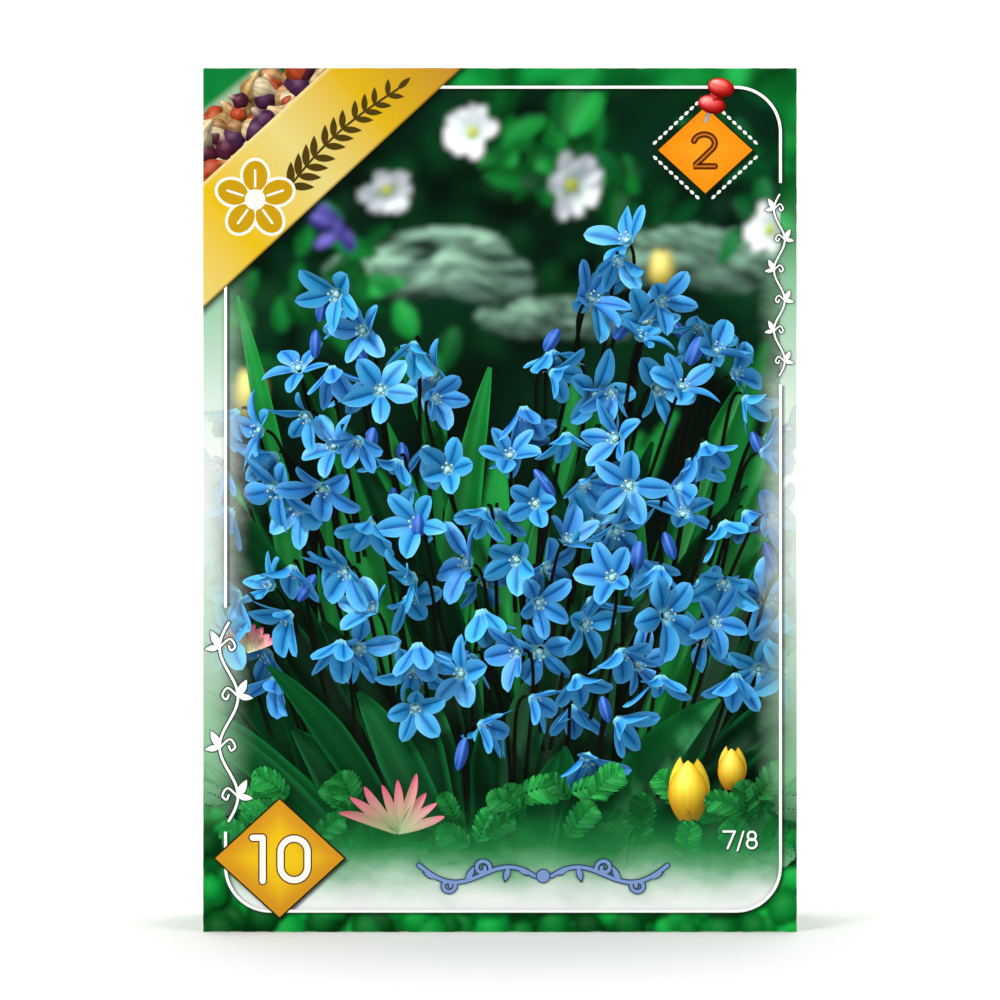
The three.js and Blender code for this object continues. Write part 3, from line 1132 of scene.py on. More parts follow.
def petal(length, half_width, lift, flare, fold, twist, sway):
    """A petal that leaves the flower's axis at angle lift and bends out to angle flare."""
    along = np.linspace(0, 1, PETAL_ROWS) ** 0.9
    angle = lift + (flare - lift) * along**0.8
    step = np.diff(along, prepend=0) * length
    out = 0.45 + np.cumsum(np.sin(angle) * step)
    up = np.cumsum(np.cos(angle) * step)
    width = half_width * (0.30 + 0.70 * smooth(0, 0.55, along))
    width = width * np.sqrt(np.clip(1 - along**3.6, 0.002, 1))
    s, t = np.meshgrid(along, PETAL_ACROSS, indexing="ij")
    side = width[:, None] * t
    rise = fold * np.abs(t) ** 1.4 * width[:, None] - 0.16 * np.exp(-((t / 0.14) ** 2)) * width[:, None]
    turn = twist * s
    radial = out[:, None] - np.cos(angle)[:, None] * (rise + side * np.sin(turn))
    height = up[:, None] + np.sin(angle)[:, None] * (rise + side * np.sin(turn))
    across = side * np.cos(turn) + sway * s**2 * length
    return np.stack([radial, across, height], 2), s, t


def flower_shape(random, openness):
    """A five-petalled flower along its own z, whose points know where on their part they are."""
    points, faces, along, across, part, maps = [], [], [], [], [], []

    def add(grid, s, t, kind, cell):
        """Adds a grid of points, how far along and across its part each one is, and its cell."""
        rows, columns = grid.shape[:2]
        faces.append(grid_faces(rows, columns, sum(len(p) for p in points)))
        points.append(grid.reshape(-1, 3))
        along.append(s.ravel())
        across.append(t.ravel())
        part.append(np.full(s.size, kind))
        u, v = np.meshgrid(np.linspace(0, 1, columns), np.linspace(0, 1, rows))
        local = np.stack([u, v], 2).reshape(-1, 2)
        low, size = cell
        maps.append(np.array(low) + 0.02 + (np.array(size) - 0.04) * local)

    for k in range(PETAL_COUNT):
        grid, s, t = petal(
            length=7.9 * random.uniform(0.90, 1.08),
            half_width=2.15 * random.uniform(0.88, 1.12),
            lift=math.radians(14 + 30 * openness + random.uniform(-7, 7)),
            flare=math.radians(36 + 66 * openness + random.uniform(-18, 18)),
            fold=random.uniform(-0.28, 0.34),
            twist=random.uniform(-0.7, 0.7),
            sway=random.uniform(-0.09, 0.09),
        )
        angle = 2 * math.pi * (k + random.uniform(-0.09, 0.09)) / PETAL_COUNT
        c, n = math.cos(angle), math.sin(angle)
        radial, side, height = grid[..., 0], grid[..., 1], grid[..., 2]
        turned = np.stack([radial * c - side * n, radial * n + side * c, height], 2)
        add(turned, s, t, PART_PETAL, ((k % 3 / 3, k // 3 / 2), (1 / 3, 1 / 2)))
    disc_x, disc_y = squared_disc(6)
    reach = np.hypot(disc_x, disc_y)
    eye = np.stack([disc_x * 0.8, disc_y * 0.8, 0.8 + 0.5 * (1 - reach**2)], 2)
    add(eye, reach, disc_x, PART_EYE, ((2 / 3, 1 / 2), (1 / 6, 1 / 4)))
    disc_x, disc_y = squared_disc(4)
    reach = np.hypot(disc_x, disc_y)
    for k in range(PETAL_COUNT):
        angle = 2 * math.pi * (k + 0.5) / PETAL_COUNT
        stamen = [0.95 * math.cos(angle) + disc_x * 0.30, 0.95 * math.sin(angle) + disc_y * 0.30]
        stamen = np.stack([*stamen, 2.0 + 0.25 * (1 - reach**2)], 2)
        add(stamen, reach, disc_x, PART_STAMEN, ((5 / 6, 1 / 2 + k * 0.09), (1 / 9, 0.09)))
    faces = np.concatenate(faces)
    mesh = made_mesh("flower", np.concatenate(points), faces, uv=np.concatenate(maps)[faces.ravel()])
    for name, values in (("along", along), ("across", across), ("part", part)):
        give(mesh, name, np.concatenate(values))
    return mesh


def flower_paint(along, across, part, tint):
    """Blue petals with a dark midrib, paler towards their edges and almost white at their foot."""
    veins = 0.5 + 0.5 * np.cos(across * 14)
    rib = np.exp(-((across / 0.15) ** 2)) * smooth(0.0, 0.25, along) * smooth(1.0, 0.75, along)
    colour = blend("#3FA5DD", "#4A99E3", np.clip(tint, 0, 1))
    for tone, share in (
        ("#3CB4DF", np.clip(-tint, 0, 1)),
        ("#88D0F4", 0.62 * np.abs(across) ** 1.9),
        ("#76C2F1", 0.40 * smooth(0.7, 1.0, along)),
        ("#1F6AB8", 0.45 * smooth(0.55, 0.05, along)),
        ("#2478C5", 0.20 * veins * smooth(1.0, 0.5, along)),
        ("#0F4F99", 0.85 * rib),
        ("#9FE2E0", 0.85 * smooth(0.22, 0.04, along)),
    ):
        colour = blend(colour, tone, share)
    eye = blend("#C0EBE4", "#2A7CA0", smooth(0.4, 1.0, along))
    stamen = blend("#D3E6CF", "#5F86A0", smooth(0.4, 1.0, along))
    colour = np.where((part == PART_EYE)[:, None], eye, colour)
    return np.where((part == PART_STAMEN)[:, None], stamen, colour)


def bed_head(x):
    """The height of the flower bed's upper edge: two mounds with a dip between them."""
    left = 34 * np.exp(-(((x + 27) / 20) ** 2))
    right = 43 * np.exp(-(((x - 25) / 23) ** 2))
    return 82 + np.maximum(left, right) + 4 * np.sin(x * 0.35)


def bed_foot(x):
    """The height of its lower edge."""
    return 48 - 15 * np.exp(-(((x - 8) / 20) ** 2)) + 4 * np.sin(x * 0.22 + 1)


def flower_spots(random, apart, tries=7000):
    """Places in the bed, no two nearer than apart."""
    found = np.empty((0, 2))
    for _ in range(tries):
        x = random.uniform(-SIDE + 1, SIDE - 1)
        z = random.uniform(30, 130)
        if not bed_foot(x) < z < bed_head(x):
            continue
        if len(found) and np.hypot(*(found - (x, z)).T).min() < apart:
            continue
        found = np.vstack([found, (x, z)])
    return found


def path(points, count):
    """A smooth curve from the first point to the last, pulled by those between."""
    share = np.linspace(0, 1, count)[:, None]
    level = [np.asarray(p, float)[None] for p in points]
    while len(level) > 1:
        level = [a * (1 - share) + b * share for a, b in zip(level, level[1:])]
    return level[0]


def blade(route, width, fold, lean, columns=5):
    """A strap leaf along a route, folded along its middle and leaning to one side."""
    away = np.array([0, 1.0, 0])
    side = units(np.cross(units(np.gradient(route, axis=0)), away))
    side = side * math.cos(lean) + away * math.sin(lean)
    t = np.linspace(-1, 1, columns)
    across = side[:, None] * (t[None, :, None] * np.asarray(width)[:, None, None] / 2)
    depth = away * (fold * np.abs(t)[None, :, None] * np.asarray(width)[:, None, None] / 2)
    return route[:, None] + across - depth, t


def strap_width(rows, width, tip=0.35):
    """The widths along a strap leaf, which narrows to its foot and over its tip's share of the length."""
    s = np.linspace(0, 1, rows)
    return width * (0.55 + 0.45 * smooth(0, 0.3, s)) * np.clip((1 - s) / tip, 0.03, 1) ** 0.6


STRAP_ROWS = 26


def leaf_blades(random, count, roots, heights, depths, widths, tones, spread=0.5, samples=6):
    """A tuft of strap leaves that fan out from the bed's foot."""
    patches = Patches()
    for _ in range(count):
        x = random.uniform(*roots)
        height = random.uniform(*heights)
        tilt = spread * (x - sum(roots) / 2) / 40 + random.normal(0, 0.16)
        depth = random.uniform(*depths)
        foot = np.array([x, depth + 6, random.uniform(4, 12)])
        knee = foot + [tilt * height * 0.35, 0, height * 0.62]
        tip = foot + [tilt * height * 1.15 + random.normal(0, 5), random.uniform(-8, 2), height]
        route = path([foot, knee, tip], STRAP_ROWS)
        width = strap_width(STRAP_ROWS, random.uniform(*widths))
        points, t = blade(route, width, random.uniform(0.1, 0.55), random.uniform(-0.7, 0.7), 7)
        tone = random.uniform(0, 1)
        s = np.linspace(0, 1, STRAP_ROWS)[:, None]
        stripe = 0.5 + 0.5 * np.cos(t * 14)[None]
        paint = blend(*tones, np.clip(tone * 0.55 + 0.16 * stripe + 0.3 * s**2 - 0.12, 0, 1))
        edge = (np.abs(t)[None] > 0.9) * np.ones((STRAP_ROWS, 1))
        patches.add(points, blend(paint, tones[1], 0.55 * edge))
    return patches.drawn(gloss=0.05, through=0.55, samples=samples)


def flower_stems(random, spots, axes):
    """A dark stem behind each flower that runs down among the leaves."""
    patches = Patches()
    for spot, axis in zip(spots, axes):
        start = spot - axis * 0.6
        knee = start - axis * 4 + [0, 3, -1]
        fall = random.uniform(20, 38)
        foot_x = spot[0] - spot[0] * 0.008 * fall + random.normal(0, 2)
        foot = np.array([foot_x, spot[1] + 16, spot[2] - fall])
        middle = (knee + foot) / 2 + [(spot[0] - foot[0]) * 0.25, 0, 4]
        route = path([foot, middle, knee, start], 22)
        points, t = blade(route, np.linspace(0.8, 0.55, len(route)), -1.2, 0.0, 3)
        share = (0.5 - 0.5 * t)[None] * np.ones((len(route), 1)) * 0.5
        patches.add(points, blend("#0B120A", "#3A3F2C", share))
    return patches.drawn(gloss=0.1, through=0.0, samples=4)


def set_turned(across, along, turn, x, z):
    """The x and z of points across and along a shape that is turned about a place."""
    c, n = math.cos(turn), math.sin(turn)
    return x + across * c - along * n, z + across * n + along * c


def dome(patches, x, y, z, size, paint, turn=0.0, count=9, bumps=None):
    """The near half of an egg, with its half-sizes along x, y and z."""
    disc_x, disc_z = squared_disc(count)
    height = np.sqrt(np.clip(1 - disc_x**2 - disc_z**2, 0, 1))
    if bumps is not None:
        height = height + bumps(disc_x, disc_z) * height
    px, pz = set_turned(disc_x * size[0], disc_z * size[2], turn, x, z)
    points = np.stack([px, y - size[1] * height, pz], 2)
    patches.add(points, paint(disc_x, disc_z) if callable(paint) else paint)


def buds(random, spots):
    """Small closed flowers between the open ones."""
    patches = Patches()

    def paint(u, _):
        return blend("#2556B2", "#6FA6E6", (0.5 + 0.5 * np.cos(u * 7)) * 0.6)

    for place in spots:
        length, width = random.uniform(2.2, 3.2), random.uniform(1.0, 1.4)
        dome(patches, *place, (width, 1.2, length), paint, random.uniform(-0.7, 0.7), 7)
    return patches.drawn(gloss=0.15, through=0.1)


def sprays(random, count, area, depth, tones, size, samples=3):
    """Low ferny leaves: narrow leaflets in pairs along a curved rib, the longest below its middle."""
    patches = Patches()
    across, up = area
    pairs = 9
    for _ in range(count):
        root = np.array([random.uniform(*across), depth + random.uniform(-5, 9), random.uniform(*up)])
        heading = random.uniform(-1.35, 1.35)
        length = size * random.uniform(0.75, 1.2)
        reach = np.array([math.sin(heading), random.uniform(-0.3, 0.1), math.cos(heading)]) * length
        droop = np.array([0, -2, -0.25 * length * abs(math.sin(heading))])
        rib = path([root, root + reach * 0.6 + [0, -2, 0.1 * length], root + reach + droop], pairs + 3)
        tone = random.uniform(0.0, 1.0)
        run = np.gradient(rib, axis=0)
        for k in range(2, pairs + 3):
            share = (k - 2) / pairs
            grow = length * 0.36 * math.sin(math.pi * (0.28 + 0.66 * share))
            for hand in (-1, 1):
                ahead = unit(run[k])
                out = np.array([ahead[2] * hand, 0, -ahead[0] * hand])
                away = (out * 0.8 + ahead * 0.7) * grow
                tip = rib[k] + away + [0, random.uniform(-1.2, 1.2), -0.15 * grow]
                route = path([rib[k], rib[k] + away * 0.6 + [0, -0.6, 0], tip], 6)
                width = length * 0.085 * np.array([0.5, 1.0, 0.9, 1.15, 0.8, 0.1])
                points, _ = blade(route, width, 0.4, random.uniform(-0.5, 0.5), 3)
                shade = np.clip(tone * 0.7 + 0.3 * share + random.uniform(-0.15, 0.15), 0, 1)
                patches.add(points, blend(*tones, shade * np.ones((6, 3))))
    return patches.drawn(gloss=0.04, through=0.5, samples=samples)


def clump(random, patches, count, middle, spread, depth, sizes, tones):
    """Broad leaves round a place, each on a heading of its own."""
    rows = 9
    bulge = np.sin(np.pi * (0.08 + 0.9 * np.linspace(0, 1, rows))) ** 0.8
    for _ in range(count):
        x, z = random.normal(middle, spread)
        heading = random.uniform(0, 2 * math.pi)
        length = random.uniform(*sizes)
        foot = np.array([x, random.uniform(*depth), z])
        reach = np.array([math.cos(heading), random.uniform(-0.4, 0.4), math.sin(heading)]) * length
        route = path([foot, foot + reach * 0.5 + [0, -1.5, 0], foot + reach], rows)
        width = length * random.uniform(0.40, 0.62) * bulge
        points, t = blade(route, width, random.uniform(0.0, 0.5), random.uniform(-0.8, 0.8))
        share = np.clip(random.uniform(0, 1) + 0.2 * np.cos(t * 8)[None], 0, 1) * np.ones((rows, 1))
        patches.add(points, blend(*tones, share))


def daisy(random, patches, place, reach, face, petals=6):
    """A pale flower of two rings of broad petals round a yellow eye, which looks along face."""
    face = unit(np.array(face))
    side = unit(np.cross(face, [0, 0, 1.0]))
    up = np.cross(side, face)
    s, t = np.meshgrid(np.linspace(0, 1, 11), np.linspace(-1, 1, 9), indexing="ij")
    for ring, (lift, share) in enumerate([(0.25, 1.0), (0.6, 0.8)]):
        for k in range(petals):
            heading = 2 * math.pi * (k + 0.5 * ring + random.uniform(-0.18, 0.18)) / petals
            flat = side * math.cos(heading) + up * math.sin(heading)
            along = np.cross(face, flat)
            length = reach * share * random.uniform(0.85, 1.1)
            width = length * random.uniform(0.26, 0.34) * np.sin(np.pi * (0.10 + 0.80 * s)) ** 0.7
            rise = length * (lift * s**1.5) + 0.35 * width * t**2
            points = place + (0.1 + 0.9 * s[..., None]) * length * flat
            points = points + rise[..., None] * face + (width * t)[..., None] * along
            streaks = 0.5 + 0.5 * np.cos(t * 11)
            patches.add(points, blend("#F4F3F4", "#A3C6B6", np.clip(0.7 - s + 0.28 * streaks, 0, 1)))
    eye = place + face * reach * 0.12
    dome(patches, *eye, (reach * 0.2, 1.2, reach * 0.18), linear("#C9CC4E"), count=7)


def boulder(random, patches, x, y, z, size, tones):
    """A worn stone of a few overlapping lumps."""

    def paint(u, v):
        bands = ripple(random, u * 0.5, v * 2.2 + 0.4 * ripple(random, u, v, 1.2), 0.9)
        pits = ripple(random, u * 0.8, v * 1.5, 0.26, 14)
        return blend(*tones, np.clip(0.45 + 0.26 * bands + 0.20 * pits, 0, 1))

    def bumps(u, v):
        return 0.16 * ripple(random, u, v, 0.8)

    for across, up, share in ((0.0, 0.0, 0.8), (-0.55, -0.25, 0.5), (0.5, -0.2, 0.6), (0.2, 0.35, 0.5)):
        place = (x + across * size[0], y + random.uniform(-2, 2), z + up * size[2])
        lump = np.array(size) * share * [random.uniform(0.8, 1.1), 0.6, random.uniform(0.9, 1.3)]
        dome(patches, *place, lump, paint, random.uniform(-0.3, 0.3), 41, bumps)


def cup_flower(patches, x, z, y, height, tones):
    """A closed cup of three pointed petals that overlap, seen from the side."""
    s, t = np.meshgrid(np.linspace(0, 1, 17), np.linspace(-1, 1, 13), indexing="ij")
    light = 0.12 + 0.80 * (1 - np.abs(t) ** 1.8) * smooth(-0.1, 0.6, s)
    share = np.clip(light + 0.06 * np.cos(t * 17), 0, 1)
    closing = np.sqrt(np.clip(1 - s**4, 0, 1))
    for facing, girth, tall in ((-1.15, 0.93, 1.0), (1.0, 0.95, 0.97), (-0.1, 1.03, 0.94)):
        radius = height * 0.35 * girth * np.sin(np.pi * (0.10 + 0.78 * s)) ** 0.75
        angle = facing + t * 1.15 * closing
        across, depth = radius * np.sin(angle), radius * np.cos(angle)
        rise = height * tall * (s - 0.05 * np.abs(t) ** 2 * closing)
        patches.add(np.stack([x + across, y - depth, z + rise], 2), blend(*tones, share))


def ray_flower(random, patches, x, z, y, reach):
    """A fan of narrow petals, green at the foot and pink above."""
    root = np.array([x, y, z])
    along = np.linspace(0, 1, 19)
    width = 1.9 * np.sin(np.pi * (0.10 + 0.90 * along)) ** 0.6
    paint = blend("#BFCB98", "#DE5C86", along[:, None] * np.ones((19, 5)))
    for angle in np.linspace(-1.25, 1.25, 9):
        away = np.array([math.sin(angle), -0.1, math.cos(angle)]) * reach * random.uniform(0.85, 1.1)
        bend = np.array([random.uniform(-1, 1), 0, random.uniform(-0.5, 1.0)])
        route = path([root, root + away * 0.6 + bend, root + away], 19)
        points, _ = blade(route, width, 0.3, random.uniform(-0.5, 0.5))
        patches.add(points, paint)


def planted(random, kind, *plants):
    """Plants or stones of one kind, each from what its function needs besides."""
    patches = Patches()
    for plant in plants:
        kind(random, patches, *plant)
    return patches


def garden_canvas(random):
    """What lies out of focus behind the flowers, painted from far to near."""
    x, z = canvas_places()
    depth = smooth(-1.4, 1.6, ripple(random, x, z, 42.0))
    canvas = blend("#020905", "#06301A", depth * smooth(60, 120, z) * 0.9)
    far = planted(
        random,
        clump,
        (110, (0, 138), (34, 13), (40, 60), (4, 9), ("#02160C", "#0E5A2B")),
        (44, (-46, 104), (6, 10), (40, 60), (4, 8), ("#031A10", "#136038")),
        (44, (46, 116), (8, 12), (40, 60), (4, 8), ("#031A10", "#136038")),
    )
    canvas = painted_over(canvas, far.drawn(gloss=0.02, samples=6), 1.3)
    stones = planted(
        random,
        boulder,
        (-14, 30, 124, (19, 12, 7.0), ("#16301F", "#A9CDB4")),
        (38, 34, 125, (19, 11, 6.0), ("#16301F", "#9FC4AB")),
        (10, 26, 114, (14, 10, 4.2), ("#16301F", "#A4C8AF")),
    )
    canvas = painted_over(canvas, stones.drawn(gloss=0.0, samples=10), 0.4)
    leaves = planted(
        random,
        clump,
        (26, (6, 147), (13, 5), (10, 26), (6, 11), ("#06401F", "#27A34A")),
        (24, (-34, 116), (9, 7), (10, 26), (5, 9), ("#074722", "#2FAE52")),
        (18, (47, 140), (7, 7), (10, 26), (5, 10), ("#04301C", "#167A40")),
        (18, (20, 136), (10, 4), (8, 22), (4, 8), ("#032A17", "#15703A")),
    )
    canvas = painted_over(canvas, leaves.drawn(gloss=0.04, through=0.6, samples=7), 0.4)
    pale = planted(
        random,
        daisy,
        ((-4.5, 5, 148), 5.6, (-0.7, -1, 0.3)),
        ((12.5, 8, 138.5), 6.4, (0.9, -1, -0.2)),
        ((-21.0, 9, 138), 4.8, (0.2, -1, -0.8)),
        ((50.5, 8, 130), 5.2, (-1.0, -1, 0.4)),
    )
    cup_flower(pale, -46, 96, 6, 8.5, ("#B9A33A", "#EFE08A"))
    cup_flower(pale, 30, 120, 9, 6.5, ("#B9A33A", "#EFE08A"))
    clump(random, pale, 7, (-30, 131), (3, 2), (6, 12), (3, 5), ("#4A3F8E", "#7F78C4"))
    canvas = painted_over(canvas, pale.drawn(through=0.4, samples=9), 0.4)
    tones = ("#07552A", "#35B257")
    tall = leaf_blades(random, 26, (-46, 46), (74, 108), (50, 60), (3.5, 7.5), tones, 0.4, 9)
    return painted_over(canvas, tall, 0.45)


def border_canvas(random):
    """The green border: leaves out of focus at the head, round bulbs in green light at the foot."""
    cloud = smooth(-1.5, 1.5, ripple(random, *canvas_places(), 16.0))
    canvas = blend("#035421", "#10983F", cloud)
    leaves = planted(
        random,
        clump,
        (120, (0, 154), (36, 5), (10, 30), (6, 12), ("#045C24", "#17A34A")),
        (60, (49, 144), (5, 12), (10, 30), (5, 10), ("#045C24", "#1AAE50")),
        (40, (-50, 154), (5, 8), (10, 30), (5, 10), ("#045C24", "#17A34A")),
    )
    canvas = painted_over(canvas, leaves.drawn(gloss=0.03, samples=8), 0.9)
    heap = Patches()
    for _ in range(420):
        radius = random.uniform(1.6, 3.6)
        x, z = random.uniform(-SIDE, SIDE), 30 * random.uniform(0, 1) ** 1.5
        tone, rim = random.uniform(0.0, 0.9), random.uniform(-0.5, 0.5)

        def paint(u, v):
            out = u**2 + v**2
            share = np.clip(tone - 0.25 * out + rim * smooth(0.66, 0.8, out), 0, 1)
            return blend("#03521F", "#12B44E", share)

        place = (x, random.uniform(0, 9), z)
        dome(heap, *place, (radius, radius, radius * 1.08), paint, random.uniform(0, 6), 13)
    return softened(painted_over(canvas, heap.drawn(gloss=0.04, samples=9), 0.0))


def picture_parts(random):
    """Everything in focus, by piece."""
    front = flower_spots(random, 8.3)
    behind = flower_spots(random, 10.5)
    spots = np.concatenate([front, behind])
    edge = np.clip((bed_head(spots[:, 0]) - spots[:, 1]) / 60, 0, 1)
    depth = 38 - 30 * edge + random.uniform(-4, 4, len(spots))
    depth[len(front) :] += 12
    places = np.stack([spots[:, 0], depth, spots[:, 1]], 1)
    outward = np.stack([spots[:, 0] * 0.012, np.full(len(spots), -0.55), (spots[:, 1] - 84) * 0.010], 1)
    nods = random.uniform(0, 1, len(spots)) < 0.42
    outward[nods] += [0, 0.22, -0.75]
    axes = units(outward + random.normal(0, 0.42, outward.shape) * [1, 0.35, 1])
    tints = random.normal(0, 0.45, len(spots))
    shapes = [flower_shape(random, openness) for openness in (0.3, 0.5, 0.7, 0.9, 1.0, 0.8)]
    kinds = random.integers(0, len(shapes), len(spots))
    kinds[nods] = random.integers(0, 3, nods.sum())
    turns = np.array([turn_to(axis, random.uniform(0, 6.3)) for axis in axes])
    sizes = random.uniform(0.88, 1.10, len(spots))
    parts = {}
    layers = np.digitize(depth, np.quantile(depth, [1 / 3, 2 / 3]))
    for layer, name in enumerate(("blossoms_front", "blossoms_middle", "blossoms_back")):
        chosen = np.flatnonzero(layers == layer)
        parts[name] = blossoms(shapes, kinds, chosen, places, turns, sizes, tints)
    parts["flower_stems"] = flower_stems(random, places, axes)
    bud_spots = places[random.choice(len(places), 30)] + random.uniform(-6, 6, (30, 3)) * [1, 0.5, 1]
    parts["flower_buds"] = buds(random, bud_spots)
    for name, *tuft in (
        ("bright", 22, (-44, 44), (62, 112), (54, 62), (5.0, 8.0), ("#0E6A30", "#35B257")),
        ("dark", 44, (-38, 40), (44, 92), (26, 50), (5.0, 8.6), ("#021A0F", "#136A38"), 0.8),
        ("front", 16, (-30, 34), (26, 46), (8, 20), (5.4, 8.8), ("#03301A", "#1A8444"), 1.4),
    ):
        parts[f"leaves_{name}"] = leaf_blades(random, *tuft)
    parts["low_sprigs"] = sprays(random, 46, ((-52, 52), (10, 25)), 6, ("#07471F", "#3BB058"), 9.5)
    accents = Patches()
    cup_flower(accents, 35.0, 21.0, 5, 11.5, ("#D98F12", "#FBE24A"))
    cup_flower(accents, 43.0, 26.5, 12, 8.0, ("#C98512", "#F6DA4C"))
    ray_flower(random, accents, -19.0, 18.5, -3, 10.5)
    ray_flower(random, accents, -47.0, 52.0, 20, 6.0)
    parts["accent_flowers"] = accents.drawn(gloss=0.2, through=0.3, samples=4)
    return parts


def blossoms(shapes, kinds, chosen, places, turns, sizes, tints):
    """The chosen flowers as one part of the picture, strewn kind by kind."""
    side = math.ceil(math.sqrt(len(chosen)))
    found, done, count = [], 0, 0
    for kind, shape in enumerate(shapes):
        mine = chosen[kinds[chosen] == kind]
        if not len(mine):
            continue
        mesh = strewn(shape, places[mine], turns[mine], sizes[mine])
        copy = numbers(mesh, "copy").astype(int)
        roles = [numbers(mesh, name) for name in ("along", "across", "part")]
        faces = quads_of(mesh)
        local = np.zeros(len(mesh.loops) * 2)
        mesh.uv_layers["OFBake"].uv.foreach_get("vector", local)
        cell = done + copy[faces.ravel()]
        uv = (np.stack([cell % side, cell // side], 1) + local.reshape(-1, 2)) / side
        found.append((points_of(mesh), faces + count, flower_paint(*roles, tints[mine][copy]), uv))
        done += len(mine)
        count += len(mesh.vertices)
    points, faces, paint, uv = (np.concatenate(column) for column in zip(*found))
    return Drawn(points, faces, paint, uv, gloss=0.16, through=0.42, samples=2)


def print_picture(border):
    """The picture's flowers and leaves, each part a piece that carries the border's inks as well."""
    parts = picture_parts(random_of(0))
    depths = Depths(parts.values())
    for name, part in parts.items():
        mesh = made_mesh(name, pressed(part.points), part.faces, lit(part, depths), part.uv)
        give_inks(mesh, "border", border[cell_of(part.points[:, 0], part.points[:, 2])])
        trimmed(mesh, FRAME_LINE["foot"], FRAME_LINE["head"])
        piece(f"print_{name}", mesh, picture_ink(f"{name}_ink"))


def small_bulb(random, patches, place, radius, skin, turn):
    """A round bulb with a pointed nose, in a skin with fine lines from nose to root."""
    u, v = squared_disc(17)
    body = np.sqrt(np.clip(1 - u**2 - v**2, 0, 1))
    across = u * (1 - 0.5 * smooth(0.1, 1.0, v)) * radius
    along = (v + 0.45 * smooth(0.5, 1.0, v) ** 2) * radius * random.uniform(0.95, 1.15)
    x, y, z = place
    px, pz = set_turned(across, along, turn, x, z)
    points = np.stack([px, y - radius * body, pz], 2)
    lines = np.cos(np.arctan2(u, body + 0.25) * random.uniform(9, 15) + ripple(random, u, v, 1.4, 5))
    blots = ripple(random, u, v, 0.9, 6)
    paint = blend(skin, skin * 0.32, np.clip(0.30 + 0.20 * lines + 0.22 * blots, 0, 1))
    paint = blend(paint, "#E2CFA6", 0.6 * smooth(0.6, 1.0, v))
    patches.add(points, blend(paint, "#5A4028", 0.7 * smooth(0.7, 0.95, -v)))


HEAP_COUNT = 121
HEAP_SKINS = "#C0A27A #B08A60 #CDB48C #A07A52 #C6B592 #B4935F #B04E2C #A8502E #57314F #5E2A3C".split()


def relief(name, part, brightness, rise, reach):
    """A part by itself in its own light, pressed into a relief of its own."""
    inks = np.clip(lit(part, Depths([part])) * brightness, 0, 1)
    return made_mesh(name, pressed(part.points, rise, reach), part.faces, inks, part.uv)


def print_heap():
    """The corner's heap of mixed bulbs."""
    random = random_of(1)
    heap = Patches()
    (x0, z0), (x1, z1) = BAND[:2]
    while len(heap.points) < HEAP_COUNT:
        x, z = random.uniform(-SIDE - 1, -26), random.uniform(134, TOP + 1)
        floor = z0 + (x - x0) * (z1 - z0) / (x1 - x0) - 2.5
        if not floor < z < heap_head(x) + 0.8 * math.sin(x * 1.3) - 1.0:
            continue
        skin = linear(HEAP_SKINS[random.integers(len(HEAP_SKINS))])
        place = (x, random.uniform(0, 7), z)
        small_bulb(random, heap, place, random.uniform(1.5, 2.7), skin, random.uniform(-1.9, 1.9))
    part = heap.drawn(gloss=0.08, through=0.0, samples=6)
    mesh = relief("heap", part, 1.25, (0.12, 0.34), (-3.0, 9.0))
    trimmed(mesh, 100.0, TOP - 0.05)
    piece("print_corner_heap", mesh, point_ink("heap_ink"))


def print_pin():
    """A red push-pin over the small diamond's head."""
    pin = Patches()
    red, dark = "#C8221C", "#800E0C"

    def paint(u, v):
        return blend(red, dark, np.clip(0.5 * (u**2 + v**2) - 0.25 * v, 0, 1))

    needle = path([(38.0, 4.0, 149.9), (38.6, 3.5, 151.6), (39.2, 3.0, 153.0)], 6)
    points, t = blade(needle, np.full(6, 0.75), -0.8, 0.0)
    pin.add(points, blend("#7A7A72", "#D8D8D0", (0.5 - 0.5 * t)[None] * np.ones((6, 1))))
    dome(pin, 39.2, 2.6, 153.2, (2.6, 1.0, 1.7), paint, -0.25, 15)
    neck = path([(39.5, 1.6, 153.8), (40.0, 1.2, 154.8), (40.5, 0.9, 155.8)], 6)
    points, t = blade(neck, np.full(6, 2.4), -0.8, 0.0, 7)
    pin.add(points, blend(red, dark, (t**2)[None] * np.ones((6, 1)) * 0.8))
    dome(pin, 40.9, 0.8, 156.3, (2.5, 1.0, 1.75), paint, -0.25, 15)
    dome(pin, 40.7, 0.2, 156.9, (1.7, 0.5, 0.95), linear("#E4604E"), -0.25, 11)
    part = pin.drawn(gloss=0.5, through=0.0, samples=10)
    mesh = relief("pin", part, 1.15, (0.44, 0.50), (-2.0, 5.0))
    piece("print_push_pin", mesh, point_ink("pin_ink"))


def trimmed(mesh, foot, head):
    """Cuts a part of the picture off at a foot, a head and the panel's side edges."""
    work = bmesh.new()
    work.from_mesh(mesh)
    limits = (
        ((0, 0, head), (0, 0, 1)),
        ((0, 0, foot), (0, 0, -1)),
        ((SIDE - 0.05, 0, 0), (1, 0, 0)),
        ((-SIDE + 0.05, 0, 0), (-1, 0, 0)),
    )
    for place, away in limits:
        everything = work.verts[:] + work.edges[:] + work.faces[:]
        at = Vector(place) * MM
        bmesh.ops.bisect_plane(work, geom=everything, plane_co=at, plane_no=away, clear_outer=True)
    loose = [v for v in work.verts if not v.link_faces]
    bmesh.ops.delete(work, geom=loose, context="VERTS")
    work.to_mesh(mesh)
    work.free()


